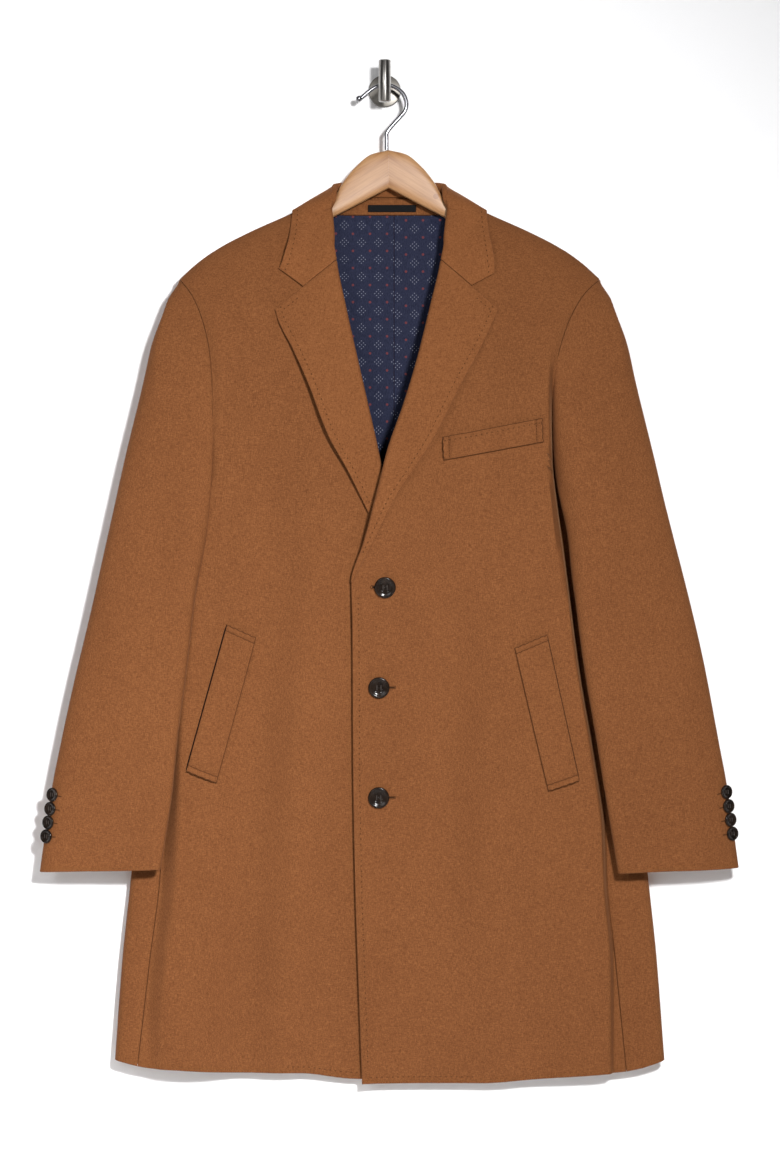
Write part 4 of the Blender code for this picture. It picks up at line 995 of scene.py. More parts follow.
def gorge_line(side, steps):
    """The collar's front end: along the lapel's upper edge to the notch, then to the collar's tip."""
    edge = np.array(lapel_row(side, 0.0, TURNS, GORGE_LEAF))
    notch = world(side * NOTCH_OUT[side], 0, NOTCH_DROP[side])
    closest = int(np.argmin(np.linalg.norm((edge - notch)[:, [0, 2]], axis=1)))
    tip_deep = front_deep(side, TIP_OUT[side], TIP_DROP[side]) + CLOTH + COLLAR_FRONT_GAP
    tip = world(side * TIP_OUT[side], tip_deep, TIP_DROP[side])
    first = int(round(NOTCH_STEP * (steps - 1))) + 1
    gorge = along_line(edge[: closest + 1] + np.array([0, 0, GORGE_GAP]), first)
    end = along_line([gorge[-1], tip], steps - first + 1)
    return np.concatenate([gorge, end[1:]])


def collar_half(side, steps, shares):
    """The collar's sections on one side, drawn to the lapel at the front end."""
    pull = gorge_line(side, steps) - collar_row(side, 0.0, steps)
    rows = []
    for share in shares:
        rows.append(collar_row(side, share, steps) + pull * (1 - float(ease(0, GORGE_EASE, share))))
    return rows


def collar_grid(steps, shares):
    left = collar_half(LEFT, steps, shares)
    right = collar_half(RIGHT, steps, shares[-2::-1])
    return np.array(left + right)


# Meshes


def add_object(name, data):
    made = bpy.data.objects.new(name, data)
    bpy.context.scene.collection.objects.link(made)
    return made


def add_mesh(name, points, faces, finish):
    """A closed mesh as a named object, with its faces turned outward."""
    mesh = bpy.data.meshes.new(name)
    mesh.from_pydata([tuple(point) for point in points], [], faces)
    shape = bmesh.new()
    shape.from_mesh(mesh)
    bmesh.ops.recalc_face_normals(shape, faces=shape.faces)
    if shape.calc_volume(signed=True) < 0:
        bmesh.ops.reverse_faces(shape, faces=shape.faces)
    shape.to_mesh(mesh)
    shape.free()
    mesh.shade_smooth()
    mesh.set_sharp_from_angle(angle=SMOOTH_TO)
    mesh.materials.append(finish)
    return add_object(name, mesh)


def with_rim(grid, reach):
    """A grid with lines added just inside its edges, and the share of the full thickness at each point."""
    shares = [np.ones(grid.shape[0]), np.ones(grid.shape[1])]
    for axis in (0, 1):
        lines = np.moveaxis(grid, axis, 0)
        starts = []
        ends = []
        for turn in RIM_TURNS:
            inset = reach * (1 - math.cos(turn))
            for edge, inside, found in ((0, 1, starts), (-1, -2, ends)):
                way = lines[inside] - lines[edge]
                length = np.linalg.norm(way, axis=-1, keepdims=True)
                found.append(lines[edge] + way * np.minimum(inset / length, RIM_FURTHEST * inset / reach))
        grid = np.moveaxis(np.concatenate([starts, lines[1:-1], ends[::-1]]), 0, axis)
        rim = np.sin(RIM_TURNS)
        shares[axis] = np.concatenate([rim, np.ones(len(lines) - 2), rim[::-1]])
    return grid, np.minimum(shares[0][:, None], shares[1][None, :])


def wall_mesh(grid, thick):
    """The points and faces of a sheet of cloth with rounded edges."""
    grid, share = with_rim(grid, thick / 2)
    half = (normals_of(grid) * thick / 2) * share[..., None]
    count, width = grid.shape[:2]
    points = np.concatenate([grid + half, grid - half]).reshape(-1, 3)
    other = count * width
    faces = []
    for i in range(count - 1):
        for j in range(width - 1):
            a = i * width + j
            corners = [a, a + 1, a + width + 1, a + width]
            faces.append(corners)
            faces.append([other + corners[k] for k in (0, 3, 2, 1)])
    rim = list(range(width))
    rim += [i * width + width - 1 for i in range(1, count)]
    rim += [(count - 1) * width + j for j in range(width - 2, -1, -1)]
    rim += [i * width for i in range(count - 2, 0, -1)]
    for a, b in zip(rim, rim[1:] + rim[:1]):
        faces.append([b, a, other + a, other + b])
    return points, faces


def add_wall(name, grid, finish, thick):
    points, faces = wall_mesh(grid, thick)
    return add_mesh(name, points, faces, finish)


def turned_mesh(profile, sides, centre, axis):
    """A turned piece: radii and heights of its outline, round an axis through a centre."""
    axis = np.array(axis) / np.linalg.norm(axis)
    side = np.cross(axis, [0, 0, 1] if abs(axis[2]) < NEARLY_UPRIGHT else [1, 0, 0])
    side /= np.linalg.norm(side)
    other = np.cross(axis, side)
    points = [np.array(centre) + axis * profile[0][1]]
    for radius, height in profile[1:-1]:
        for k in range(sides):
            turn = 2 * math.pi * k / sides
            spoke = side * math.cos(turn) + other * math.sin(turn)
            points.append(np.array(centre) + axis * height + spoke * radius)
    points.append(np.array(centre) + axis * profile[-1][1])
    faces = []
    last = len(points) - 1
    rings = len(profile) - 2
    for k in range(sides):
        after = (k + 1) % sides
        faces.append([0, 1 + after, 1 + k])
        for ring in range(rings - 1):
            start = 1 + ring * sides
            faces.append([start + k, start + after, start + sides + after, start + sides + k])
        start = 1 + (rings - 1) * sides
        faces.append([start + k, start + after, last])
    return points, faces


def ring_faces(rings, sides):
    """The faces of a tube of rings, with its two ends."""
    last = (rings - 1) * sides
    faces = [list(range(sides)), list(range(last, last + sides))]
    for ring in range(rings - 1):
        for k in range(sides):
            a = ring * sides + k
            b = ring * sides + (k + 1) % sides
            faces.append([a, b, b + sides, a + sides])
    return faces


def tube_mesh(path, radii, sides, normal):
    """A round tube along a path of points, closed at both ends."""
    path = np.array(path)
    ways = np.gradient(path, axis=0)
    points = []
    for point, way, radius in zip(path, ways, np.broadcast_to(radii, len(path))):
        way = way / np.linalg.norm(way)
        side = np.cross(way, normal)
        side /= np.linalg.norm(side)
        up = np.cross(side, way)
        for k in range(sides):
            turn = 2 * math.pi * k / sides
            points.append(point + radius * (side * math.cos(turn) + up * math.sin(turn)))
    return points, ring_faces(len(path), sides)


def joined(meshes):
    """Several meshes' points and faces as one."""
    points = []
    faces = []
    for more_points, more_faces in meshes:
        start = len(points)
        points += list(more_points)
        faces += [[start + k for k in face] for face in more_faces]
    return points, faces


def facing_viewer(grid):
    """Normals of a grid, turned towards the viewer."""
    normals = normals_of(grid)
    return -normals if normals[..., 1].mean() > 0 else normals


def patch_on_front(side, corners, columns, rows):
    """A grid on a front between four corners, each given as out and drop."""
    upper_in, upper_out, lower_out, lower_in = (np.array(corner) for corner in corners)
    grid = []
    for v in np.linspace(0, 1, rows):
        start = upper_in + (lower_in - upper_in) * v
        end = upper_out + (lower_out - upper_out) * v
        places = start + (end - start) * np.linspace(0, 1, columns)[:, None]
        grid.append(world(side * places[:, 0], front_deep(side, places[:, 0], places[:, 1]), places[:, 1]))
    return np.array(grid)


# The coat's cloth


def rows_of(plan):
    """Shares of the way down a piece, closer together at its top."""
    close = plan.share * np.linspace(0, 1, plan.count) ** plan.power
    return np.concatenate([close, np.linspace(plan.share, 1, plan.rest)[1:]])


def body_grids():
    rows = rows_of(BODY_ROWS)
    grids = {}
    for side, name in NAMES.items():
        grids["front_" + name] = front_grid(side, FRONT_COLUMNS, rows)
        grids["back_" + name] = back_grid(side, BACK_FLAT, rows)
    return grids


def parted(grid, gap):
    """A grid with its first and last columns drawn in from the seams."""
    grid = grid.copy()
    for edge, inside in ((0, 1), (-1, -2)):
        way = grid[:, inside] - grid[:, edge]
        grid[:, edge] += way / np.linalg.norm(way, axis=-1, keepdims=True) * gap / 2
    return grid


def sleeve_grids():
    grids = {}
    rows = rows_of(SLEEVE_ROWS)
    for side, name in NAMES.items():
        for half, degrees in SLEEVE_HALVES.items():
            grid = sleeve_grid(side, degrees, rows)
            grids["sleeve_" + half + "_" + name] = parted(grid, SEAM_GAP)
    return grids


def lapel_grids():
    return {"lapel_" + name: lapel_grid(side, TURNS, LEAF, LAPEL_ROWS) for side, name in NAMES.items()}


def across_back(outs, drops, rise):
    """A strip across the inside of the back, at a rise off it."""
    return np.array([world(outs, back_deep(np.abs(outs), drop) + rise, drop) for drop in drops])


def lining_grid(side):
    """Half of the back lining, with its middle seam a little to the viewer's right."""
    drawn = side * LINING_SEAM * np.linspace(0, 1, LINING_COLUMNS)
    outs = np.linspace(LINING_REACH, SEAM_GAP / 2, LINING_COLUMNS) + drawn
    top = np.maximum(LINING_DROPS[0], read(SHOULDER, "drop", np.abs(outs)) + LINING_BELOW_SHOULDER)
    drops = top + (LINING_DROPS[1] - top) * LINING_SHARES[:, None]
    deep = back_deep(np.abs(outs), drops) + LINING_RISE
    return world(side * outs, deep, drops)


def inside_grids():
    """The neck facing, the two linings and the hang loop."""
    return {
        "neck_facing": across_back(FACING_OUTS, FACING_DROPS, FACING_RISE),
        "lining_left": lining_grid(LEFT),
        "lining_right": lining_grid(RIGHT),
        "hang_loop": across_back(LOOP_OUTS, LOOP_DROPS, LOOP_RISE),
    }


def welt_rise(across, from_end):
    """The rise of a welt, by the share of the way to its opening edge and the way from its nearer end."""
    puff = WELT_PUFF * (1 - np.abs(2 * across - 1) ** 3) + WELT_LIP * across
    return puff - BAR_SINK * bell(from_end, BAR_INSET, BAR_WIDE)


def welt_grids():
    grids = {}
    for welt in WELTS:
        columns, rows = CHEST_COUNTS if welt.name in WELT_ENDS else POCKET_COUNTS
        grid = patch_on_front(welt.side, welt[2:], columns, rows)
        along_axis, across_axis = (1, 0) if welt.name in WELT_ENDS else (0, 1)
        steps = np.linspace(0, 1, grid.shape[along_axis])
        long = np.linalg.norm(np.take(grid, -1, along_axis) - np.take(grid, 0, along_axis), axis=-1).mean()
        from_end = np.minimum(steps, 1 - steps) * long
        across = np.linspace(0, 1, grid.shape[across_axis])
        if welt.name in WELT_ENDS:
            rise = welt_rise(1 - across[:, None], from_end[None, :])
        else:
            rise = welt_rise(across[None, :], from_end[:, None])
        grids[welt.name] = grid + facing_viewer(grid) * (CLOTH + SEAM_GAP + rise[..., None])
    return grids


# Sewing


def inset_line(grid, edge, inset):
    """A line on a sheet's outer face, a set way in from one edge: its points and the way they face."""
    normals = facing_viewer(grid)
    faces = grid + normals * CLOTH / 2
    if edge in ("first row", "last row"):
        faces = np.swapaxes(faces, 0, 1)
        normals = np.swapaxes(normals, 0, 1)
    if edge in ("first row", "first column"):
        faces = faces[:, ::-1]
        normals = normals[:, ::-1]
    points = []
    ways = []
    for line, facing in zip(faces, normals):
        steps = np.linalg.norm(np.diff(line, axis=0), axis=1)
        left = np.concatenate([np.cumsum(steps[::-1])[::-1], [0]])
        points.append(at_length(inset, left[::-1], line[::-1]))
        ways.append(at_length(inset, left[::-1], facing[::-1]))
    return np.array(points), np.array(ways)


def stretch_of(line, first, last):
    """Part of a line and its ways, between two shares of its count."""
    points, ways = line
    low = int(first * len(points))
    high = int(last * len(points))
    return points[low:high], ways[low:high]


def stitches(line, spacing):
    """Short sunk stitches along a line."""
    points, ways = line
    lengths = lengths_along(points)
    half = PICK_LENGTH / 2
    outline = [(0, -half), (PICK_RADIUS, -half / 2), (PICK_RADIUS, half / 2), (0, half)]
    made = []
    for at in np.arange(spacing / 2, lengths[-1], spacing):
        here = at_length(at, lengths, points)
        there = at_length(at + PICK_LENGTH, lengths, points)
        way = at_length(at, lengths, ways)
        if np.linalg.norm(there - here) > PICK_LENGTH / 3:
            made.append(turned_mesh(outline, THREAD_SIDES, here - way * PICK_SUNK, there - here))
    return made


def front_face(side, out, drop):
    """Points on a front's outer face and the way it faces there."""
    here = world(side * out, front_deep(side, out, drop), drop)
    beside = world(side * (out + FACE_STEP), front_deep(side, out + FACE_STEP, drop), drop)
    below = world(side * out, front_deep(side, out, drop + FACE_STEP), drop + FACE_STEP)
    way = np.cross(beside - here, below - here)
    way = way / np.linalg.norm(way, axis=-1, keepdims=True)
    way = way * -np.sign(way[..., 1:2])
    return here + way * CLOTH / 2, way


def buttonholes():
    """The raised lips of the three buttonholes: an eye by the front edge, two lips and a bar at the end."""
    made = []
    for drop in BUTTONHOLE_DROPS:
        eye = HOLE_FROM + HOLE_EYE
        outs = [eye + HOLE_EYE * math.cos(turn) for turn in EYE_TURNS]
        drops = [drop - HOLE_EYE * math.sin(turn) for turn in EYE_TURNS]
        straight = np.linspace(eye + LIP_STARTS, HOLE_TO, LIP_COUNT)
        outs = np.concatenate([straight[::-1], outs, straight])
        level = 0 * straight + drop
        drops = np.concatenate([level - HOLE_HALF_WIDE, drops, level + HOLE_HALF_WIDE])
        points, ways = front_face(RIGHT, outs, drops)
        made.append(tube_mesh(points, LIP_RADIUS, THREAD_SIDES, ways[0]))
        bar_drops = drop + HOLE_HALF_WIDE * np.linspace(-BAR_REACH, BAR_REACH, BAR_COUNT)
        points, ways = front_face(RIGHT, np.full(BAR_COUNT, HOLE_TO), bar_drops)
        made.append(tube_mesh(points, LIP_RADIUS * BAR_THICKER, THREAD_SIDES, ways[0]))
    return made


def buttonhole_slots():
    """The slits between the lips, as sunk tubes of painted shade."""
    made = []
    for drop in BUTTONHOLE_DROPS:
        outs = np.linspace(HOLE_FROM + HOLE_EYE, HOLE_TO, SLOT_COUNT)
        points, ways = front_face(RIGHT, outs, np.full(SLOT_COUNT, drop))
        radii = [HOLE_EYE * SLOT_START, HOLE_EYE] + [HOLE_HALF_WIDE * SLOT_SHARE] * (SLOT_COUNT - 2)
        made.append(tube_mesh(points - ways * HOLE_HALF_WIDE * SLOT_SUNK, radii, SLOT_SIDES, ways[0]))
    return made


def cuff_patch(side, drop, turns):
    """A small patch of a sleeve's cloth at a cuff button's drop, at places round the sleeve."""
    start = float(armhole_at(side, CUFF_BUTTON_ANGLE)[1])
    share = (drop - start) / (CUFF_OUTER[side] - start)
    return sleeve_grid(side, turns, share + CUFF_STEPS)


def cuff_holes():
    """The short worked ends of the cuff buttonholes, inward of each button."""
    made = []
    for side in NAMES:
        for drop in CUFF_BUTTON_DROPS[side]:
            grid = cuff_patch(side, drop, CUFF_HOLE_TURNS)
            way = facing_viewer(grid)[1]
            made.append(tube_mesh(grid[1] + way * CLOTH / 2, LIP_RADIUS, THREAD_SIDES, way[2]))
    return made


def pick_stitches(grids):
    """The fine hand stitching along the edges."""
    made = []
    for pick in PICKS:
        line = inset_line(grids[pick.node], pick.edge, pick.inset)
        made += stitches(stretch_of(line, pick.first, pick.last), PICK_SPACING)
    return made


def welt_stitches(grids):
    """The two lines of stitching that hold each welt's ends."""
    made = []
    for welt in WELTS:
        for edge in WELT_ENDS.get(welt.name, ("first row", "last row")):
            made += stitches(inset_line(grids[welt.name], edge, BAR_INSET), BAR_SPACING)
    return made


def welt_slots():
    """A line of painted shade along the opening edge of each pocket, beside its welt."""
    made = []
    for welt in WELTS:
        if welt.name in WELT_ENDS:
            continue
        places = np.linspace(welt.upper_out, welt.lower_out, WELT_SLOT_COUNT) + np.array([SLOT_BESIDE, 0])
        points, ways = front_face(welt.side, places[:, 0], places[:, 1])
        radii = SLOT_RADIUS[welt.side] * SLOT_ENDS
        made.append(tube_mesh(points, radii, SLOT_SIDES, ways[0]))
    return made


def welt_lines(grids):
    """Painted seam shadows: dark lines round each welt, puckered a little at its ends."""
    made = []
    for welt in WELTS:
        chest = welt.name in WELT_ENDS
        edges = {"last row" if chest else "first column": (0.0, 0.0)}
        if chest:
            edges["first row"] = (0.0, 0.0)
        for edge in WELT_ENDS.get(welt.name, ("first row", "last row")):
            edges[edge] = (PUCKER, 0.0 if chest else BAR_INSET)
        for edge, (pucker, inset) in edges.items():
            for way_in in (SEAM_SHADOW_RADIUS, inset) if inset else (SEAM_SHADOW_RADIUS,):
                points, ways = inset_line(grids[welt.name], edge, way_in)
                wave = pucker * np.sin(2 * math.pi * lengths_along(points) / PUCKER_LENGTH)
                points = points + np.outer(wave, [1, 0, 0] if chest else [0, 0, 1])
                made.append(tube_mesh(points, SEAM_SHADOW_RADIUS, THREAD_SIDES, ways[0]))
    return made


# Buttons, hanger and wall hook


def cut(piece, cutter):
    """Takes a cutter away from a piece, and leaves no modifier behind."""
    change = piece.modifiers.new("holes", "BOOLEAN")
    change.object = cutter
    change.solver = "EXACT"
    shape = bpy.data.meshes.new_from_object(piece.evaluated_get(bpy.context.evaluated_depsgraph_get()))
    piece.modifiers.clear()
    piece.data = shape
    bpy.data.objects.remove(cutter)


def add_button(name, radius, thick, sides, centre, way, horn, thread):
    """A four-hole button with a raised rim, and its thread in two bars."""
    way = np.array(way) / np.linalg.norm(way)
    across = np.cross(way, [0, 0, 1])
    across /= np.linalg.norm(across)
    up = np.cross(across, way)
    outline = [(r * radius, h * thick) for r, h in BUTTON_OUTLINE]
    button = add_mesh("fine_" + name, *turned_mesh(outline, sides, centre, way), horn)
    bore = HOLE_SHARE * radius
    place = HOLE_PLACE * radius
    bore_outline = [(0, -thick), (bore, -thick), (bore, 2 * thick), (0, 2 * thick)]
    bores = []
    bars = []
    for a in (-1, 1):
        ends = []
        for b in (-1, 1):
            middle = centre + across * a * place + up * b * place
            bores.append(turned_mesh(bore_outline, BORE_SIDES, middle, way))
            ends.append(middle)
        top = way * thick * THREAD_TOP
        foot = way * thick * THREAD_FOOT
        path = [ends[0] + foot, ends[0] + top, ends[1] + top, ends[1] + foot]
        bars.append(tube_mesh(spline(path, BAR_STEPS), bore * THREAD_SHARE, BAR_SIDES, across))
    cut(button, add_mesh("bores", *joined(bores), horn))
    return button, add_mesh("thread_" + name, *joined(bars), thread)


def add_buttons(horn, thread):
    """The three front buttons and eight cuff buttons, by the node that each one stands for."""
    made = {}
    for button in FRONT_BUTTONS:
        centre, way = front_face(RIGHT, np.array(button.x), np.array(button.drop))
        centre = centre + way * 2 * SEAM_GAP
        made[button.name] = add_button(
            button.name, FRONT_BUTTON, FRONT_BUTTON_THICK, FRONT_BUTTON_SIDES, centre, way, horn, thread
        )
    for side, name in NAMES.items():
        for place, drop in enumerate(CUFF_BUTTON_DROPS[side], 1):
            grid = cuff_patch(side, drop, CUFF_BUTTON_TURNS)
            way = facing_viewer(grid)[1, 1]
            centre = grid[1, 1] + way * (CLOTH / 2 + 2 * SEAM_GAP)
            label = "cuff_button_" + name + "_" + str(place)
            made[label] = add_button(
                label, CUFF_BUTTON, CUFF_BUTTON_THICK, CUFF_BUTTON_SIDES, centre, way, horn, thread
            )
    return made


def hanger_edges(side, out):
    """The drops of the hanger's upper and lower edge."""
    coat_out = out + side * (HANGER_X - AXIS_X)
    under_shoulder = float(read(SHOULDER, "drop", coat_out)) + HANGER_UNDER
    crown = float(read(HANGER_CROWN, "top", out))
    top = max(crown, under_shoulder) if out > ARM_FROM else crown
    if out < ARM_FROM:
        bottom = HANGER_APEX_DROP + CROWN_SLOPE * out
    else:
        bottom = top + ARM_HEIGHT - ARM_TAPER * (out - ARM_FROM)
    return top, bottom


def add_hanger(wood):
    """The two halves of the hanger, by the node that each one stands for."""
    outs = [(out, 1.0) for out in np.linspace(HANGER_JOINT, HANGER_END - HANGER_ROUND, HANGER_COUNT)]
    for turn in HANGER_END_TURNS:
        outs.append((HANGER_END - HANGER_ROUND * (1 - math.sin(turn)), math.cos(turn) ** 0.5))
    made = {}
    for side, name in NAMES.items():
        points = []
        for out, small in outs:
            top, bottom = hanger_edges(side, out)
            square = CROWN_SQUARE + ARM_ROUNDER * float(ease(*ARM_ROUNDS, out))
            for turn in HANGER_TURNS:
                drop = (top + bottom) / 2 + small * (bottom - top) / 2 * power_round(math.sin(turn), square)
                deep = RIDGE_DEEP + small * HANGER_HALF_THICK * power_round(math.cos(turn), square)
                points.append((HANGER_X + side * out, -deep, -drop))
        faces = ring_faces(len(outs), len(HANGER_TURNS))
        made["hanger_" + name] = add_mesh("fine_hanger_" + name, points, faces, wood)
    return made


def add_hook(wire):
    """The hanger's bent wire, with a ball on its end."""
    path = spline([(x, -RIDGE_DEEP, z) for x, z in HOOK_PATH], WIRE_STEPS)
    left = np.linalg.norm(path - path[-1], axis=1)
    left[: len(path) // 2] = 1.0
    ball = np.sqrt(np.clip(1 - ((left - WIRE_TIP_RADIUS) / WIRE_TIP_RADIUS) ** 2, 0, 1))
    tip = WIRE_TIP_RADIUS * ball
    radii = np.where(left < WIRE_TIP_RADIUS, tip, np.maximum(WIRE_RADIUS, tip))
    radii = np.maximum(radii, WIRE_RADIUS * WIRE_END)
    points, faces = tube_mesh(path, radii, WIRE_SIDES, (0, -1, 0))
    return add_mesh("fine_hanger_hook", points, faces, wire)


def add_wall_hook(steel, dull):
    """The wall hook's plate, post and peg, by the node that each one stands for."""
    plate = [(0, 0), (PLATE_RADIUS, 0), (PLATE_RADIUS, PLATE_THICK - BEVEL)]
    bend = BEVEL * BEVEL_BEND
    plate += [(PLATE_RADIUS - bend, PLATE_THICK - bend), (PLATE_RADIUS - BEVEL, PLATE_THICK)]
    plate += [(0, PLATE_THICK)]
    post = [(0, PLATE_THICK), (POST_RADIUS, PLATE_THICK), (POST_RADIUS, PEG_DEEP - PEG_RADIUS / 2)]
    post += [(0, PEG_DEEP - PEG_RADIUS / 2)]
    peg = [(0, PEG_BOTTOM), (PEG_RADIUS - BEVEL, PEG_BOTTOM), (PEG_RADIUS, PEG_BOTTOM + BEVEL)]
    peg += [(PEG_RADIUS, PEG_TOP - BEVEL), (PEG_RADIUS - BEVEL, PEG_TOP), (0, PEG_TOP)]
    toward = (0, -1, 0)
    plate_mesh = turned_mesh(plate, PLATE_SIDES, (0, 0, 0), toward)
    post_mesh = turned_mesh(post, POST_SIDES, (0, 0, -POST_DROP), toward)
    peg_mesh = turned_mesh(peg, PEG_SIDES, (0, -PEG_DEEP, 0), (0, 0, 1))
    return {
        "wall_plate": add_mesh("fine_wall_plate", *plate_mesh, dull),
        "wall_post": add_mesh("fine_wall_post", *post_mesh, steel),
        "wall_peg": add_mesh("fine_wall_peg", *peg_mesh, steel),
    }


# Materials


def new_material(name):
    made = bpy.data.materials.new(name)
    made.use_nodes = True
    return made, made.node_tree, made.node_tree.nodes["Principled BSDF"]


def fill_in(tree, node, inputs):
    """Gives a node its inputs, as values or as other nodes' outputs."""
    for name, value in inputs.items():
        if isinstance(value, bpy.types.NodeSocket):
            tree.links.new(value, node.inputs[name])
        else:
            node.inputs[name].default_value = value


def put(tree, kind, inputs, **settings):
    """A new node with its settings and its inputs."""
    node = tree.nodes.new(kind)
    for name, value in settings.items():
        setattr(node, name, value)
    fill_in(tree, node, inputs)
    return node


def number(tree, operation, *values):
    return put(tree, "ShaderNodeMath", dict(enumerate(values)), operation=operation).outputs[0]


def weighted(tree, *terms):
    """The sum of values, each times its weight."""
    total = number(tree, "MULTIPLY", *terms[0])
    for term in terms[1:]:
        total = number(tree, "ADD", total, number(tree, "MULTIPLY", *term))
    return total


def ramp(tree, factor, stops):
    """Colours along a ramp, given as places and colours."""
    node = put(tree, "ShaderNodeValToRGB", {"Fac": factor})
    colours = node.color_ramp.elements
    while len(colours) < len(stops):
        colours.new(0.5)
    for colour, (place, value) in zip(colours, stops):
        colour.position = place
        colour.color = (*value, 1)
    return node.outputs["Color"]


def grain(tree, stretch, scale, detail, turn=(0, 0, 0), place=None):
    """Noise on the piece's own coordinates, or on given ones, stretched along each of them."""
    if place is None:
        place = put(tree, "ShaderNodeTexCoord", {}).outputs["Object"]
    by = {"Vector": place, "Rotation": turn}
    turned = put(tree, "ShaderNodeVectorRotate", by, rotation_type="EULER_XYZ").outputs[0]
    drawn = put(tree, "ShaderNodeMapping", {"Vector": turned, "Scale": stretch}).outputs[0]
    made_of = {"Vector": drawn, "Scale": scale, "Detail": detail, "Roughness": 0.6}
    return put(tree, "ShaderNodeTexNoise", made_of).outputs["Fac"]


def wool_material(name, painted_lightness):
    """Camel wool: a brushed face of short fibres in lighter and darker shades, all scaled by a factor that
    paints a lighter sheen onto the lapels and the collar.
    """
    made, tree, shader = new_material(name)
    fine = grain(tree, (1, 1, 1), 1700, 1)
    upright = grain(tree, (1, 1, 0.16), 1600, 1)
    level = grain(tree, (0.16, 1, 1), 1600, 1)
    cloud = grain(tree, (1, 1, 1), 45, 2)
    drift = grain(tree, (1, 1, 0.35), 14, 1)
    fibres = weighted(tree, (upright, 0.34), (level, 0.34), (fine, 0.32))
    clouds = weighted(tree, (cloud, 0.05), (drift, 0.06))
    shade = number(tree, "ADD", number(tree, "MULTIPLY", fibres, 0.89), clouds)
    shades = [np.array(tone) * painted_lightness for tone in (WOOL_DARK, WOOL_MID, WOOL_LIGHT)]
    colour = ramp(tree, shade, list(zip((0.34, 0.50, 0.66), shades)))
    bump = put(tree, "ShaderNodeBump", {"Height": fibres, "Strength": 0.35, "Distance": 0.0008})
    looks = {
        "Base Color": colour,
        "Normal": bump.outputs[0],
        "Roughness": 0.95,
        "Specular IOR Level": 0.15,
        "Sheen Weight": 0.22,
        "Sheen Roughness": 0.35,
        "Sheen Tint": (0.60, 0.30, 0.14, 1),
    }
    fill_in(tree, shader, looks)
    return made


def nearest(tree, value):
    """How far a value is from the nearest whole number, with its sign."""
    return number(tree, "SUBTRACT", number(tree, "FRACT", number(tree, "ADD", value, 0.5)), 0.5)


def distance(tree, first, second):
    squares = number(tree, "MULTIPLY_ADD", first, first, number(tree, "MULTIPLY", second, second))
    return number(tree, "SQRT", squares)


def mixed_colour(tree, share, first, second):
    """One colour over another, by a share; the second one is a plain colour."""
    node = put(tree, "ShaderNodeMix", {0: share, 6: first, 7: (*second, 1)}, data_type="RGBA")
    return node.outputs[2]


def lining_material():
    """Navy satin with a small repeat: red dots, and diamonds of pale dots between them."""
    made, tree, shader = new_material("navy lining")
    place = put(tree, "ShaderNodeTexCoord", {}).outputs["Object"]
    x, _, z = put(tree, "ShaderNodeSeparateXYZ", {"Vector": place}).outputs
    on_right = number(tree, "GREATER_THAN", x, AXIS_X + LINING_SEAM)
    start_x = number(tree, "MULTIPLY_ADD", on_right, RED_RIGHT[0] - RED_LEFT[0], RED_LEFT[0])
    start_z = number(tree, "MULTIPLY_ADD", on_right, RED_RIGHT[1] - RED_LEFT[1], RED_LEFT[1])
    u = number(tree, "DIVIDE", number(tree, "SUBTRACT", x, start_x), REPEAT)
    v = number(tree, "DIVIDE", number(tree, "SUBTRACT", z, start_z), REPEAT)
    from_red = number(tree, "MULTIPLY", distance(tree, nearest(tree, u), nearest(tree, v)), REPEAT)
    red = number(tree, "LESS_THAN", from_red, RED_RADIUS)
    p = number(tree, "MULTIPLY", nearest(tree, number(tree, "ADD", u, 0.5)), REPEAT / PALE_STEP)
    q = number(tree, "MULTIPLY", nearest(tree, number(tree, "ADD", v, 0.5)), REPEAT / PALE_STEP)
    a = number(tree, "ADD", p, q)
    b = number(tree, "SUBTRACT", p, q)
    furthest = number(tree, "MAXIMUM", number(tree, "ABSOLUTE", a), number(tree, "ABSOLUTE", b))
    dot = number(tree, "LESS_THAN", distance(tree, nearest(tree, a), nearest(tree, b)), PALE_RADIUS)
    pale = number(tree, "MULTIPLY", dot, number(tree, "LESS_THAN", furthest, PALE_REACH))
    twill = grain(tree, (1, 1, 0.3), 1400, 2)
    navy = ramp(tree, twill, [(0.3, (0.011, 0.013, 0.028)), (0.7, (0.024, 0.027, 0.053))])
    colour = mixed_colour(tree, pale, navy, (0.140, 0.147, 0.190))
    colour = mixed_colour(tree, red, colour, (0.110, 0.030, 0.036))
    fill_in(tree, shader, {"Base Color": colour, "Roughness": 0.55, "Specular IOR Level": 0.02})
    return made


def plain_material(name, colour, roughness, metallic=0.0, shine=0.5):
    made, tree, shader = new_material(name)
    fill_in(tree, shader, {"Base Color": (*colour, 1), "Roughness": roughness})
    fill_in(tree, shader, {"Metallic": metallic, "Specular IOR Level": shine})
    return made


def horn_material():
    """Dark horn with faint paler streaks."""
    made, tree, shader = new_material("dark horn")
    streaks = grain(tree, (1, 1, 0.3), 160, 4)
    tones = [(0.35, (0.006, 0.004, 0.003)), (0.62, (0.016, 0.010, 0.007)), (0.8, (0.05, 0.03, 0.018))]
    looks = {"Base Color": ramp(tree, streaks, tones), "Roughness": 0.16, "Specular IOR Level": 0.20}
    fill_in(tree, shader, looks)
    return made


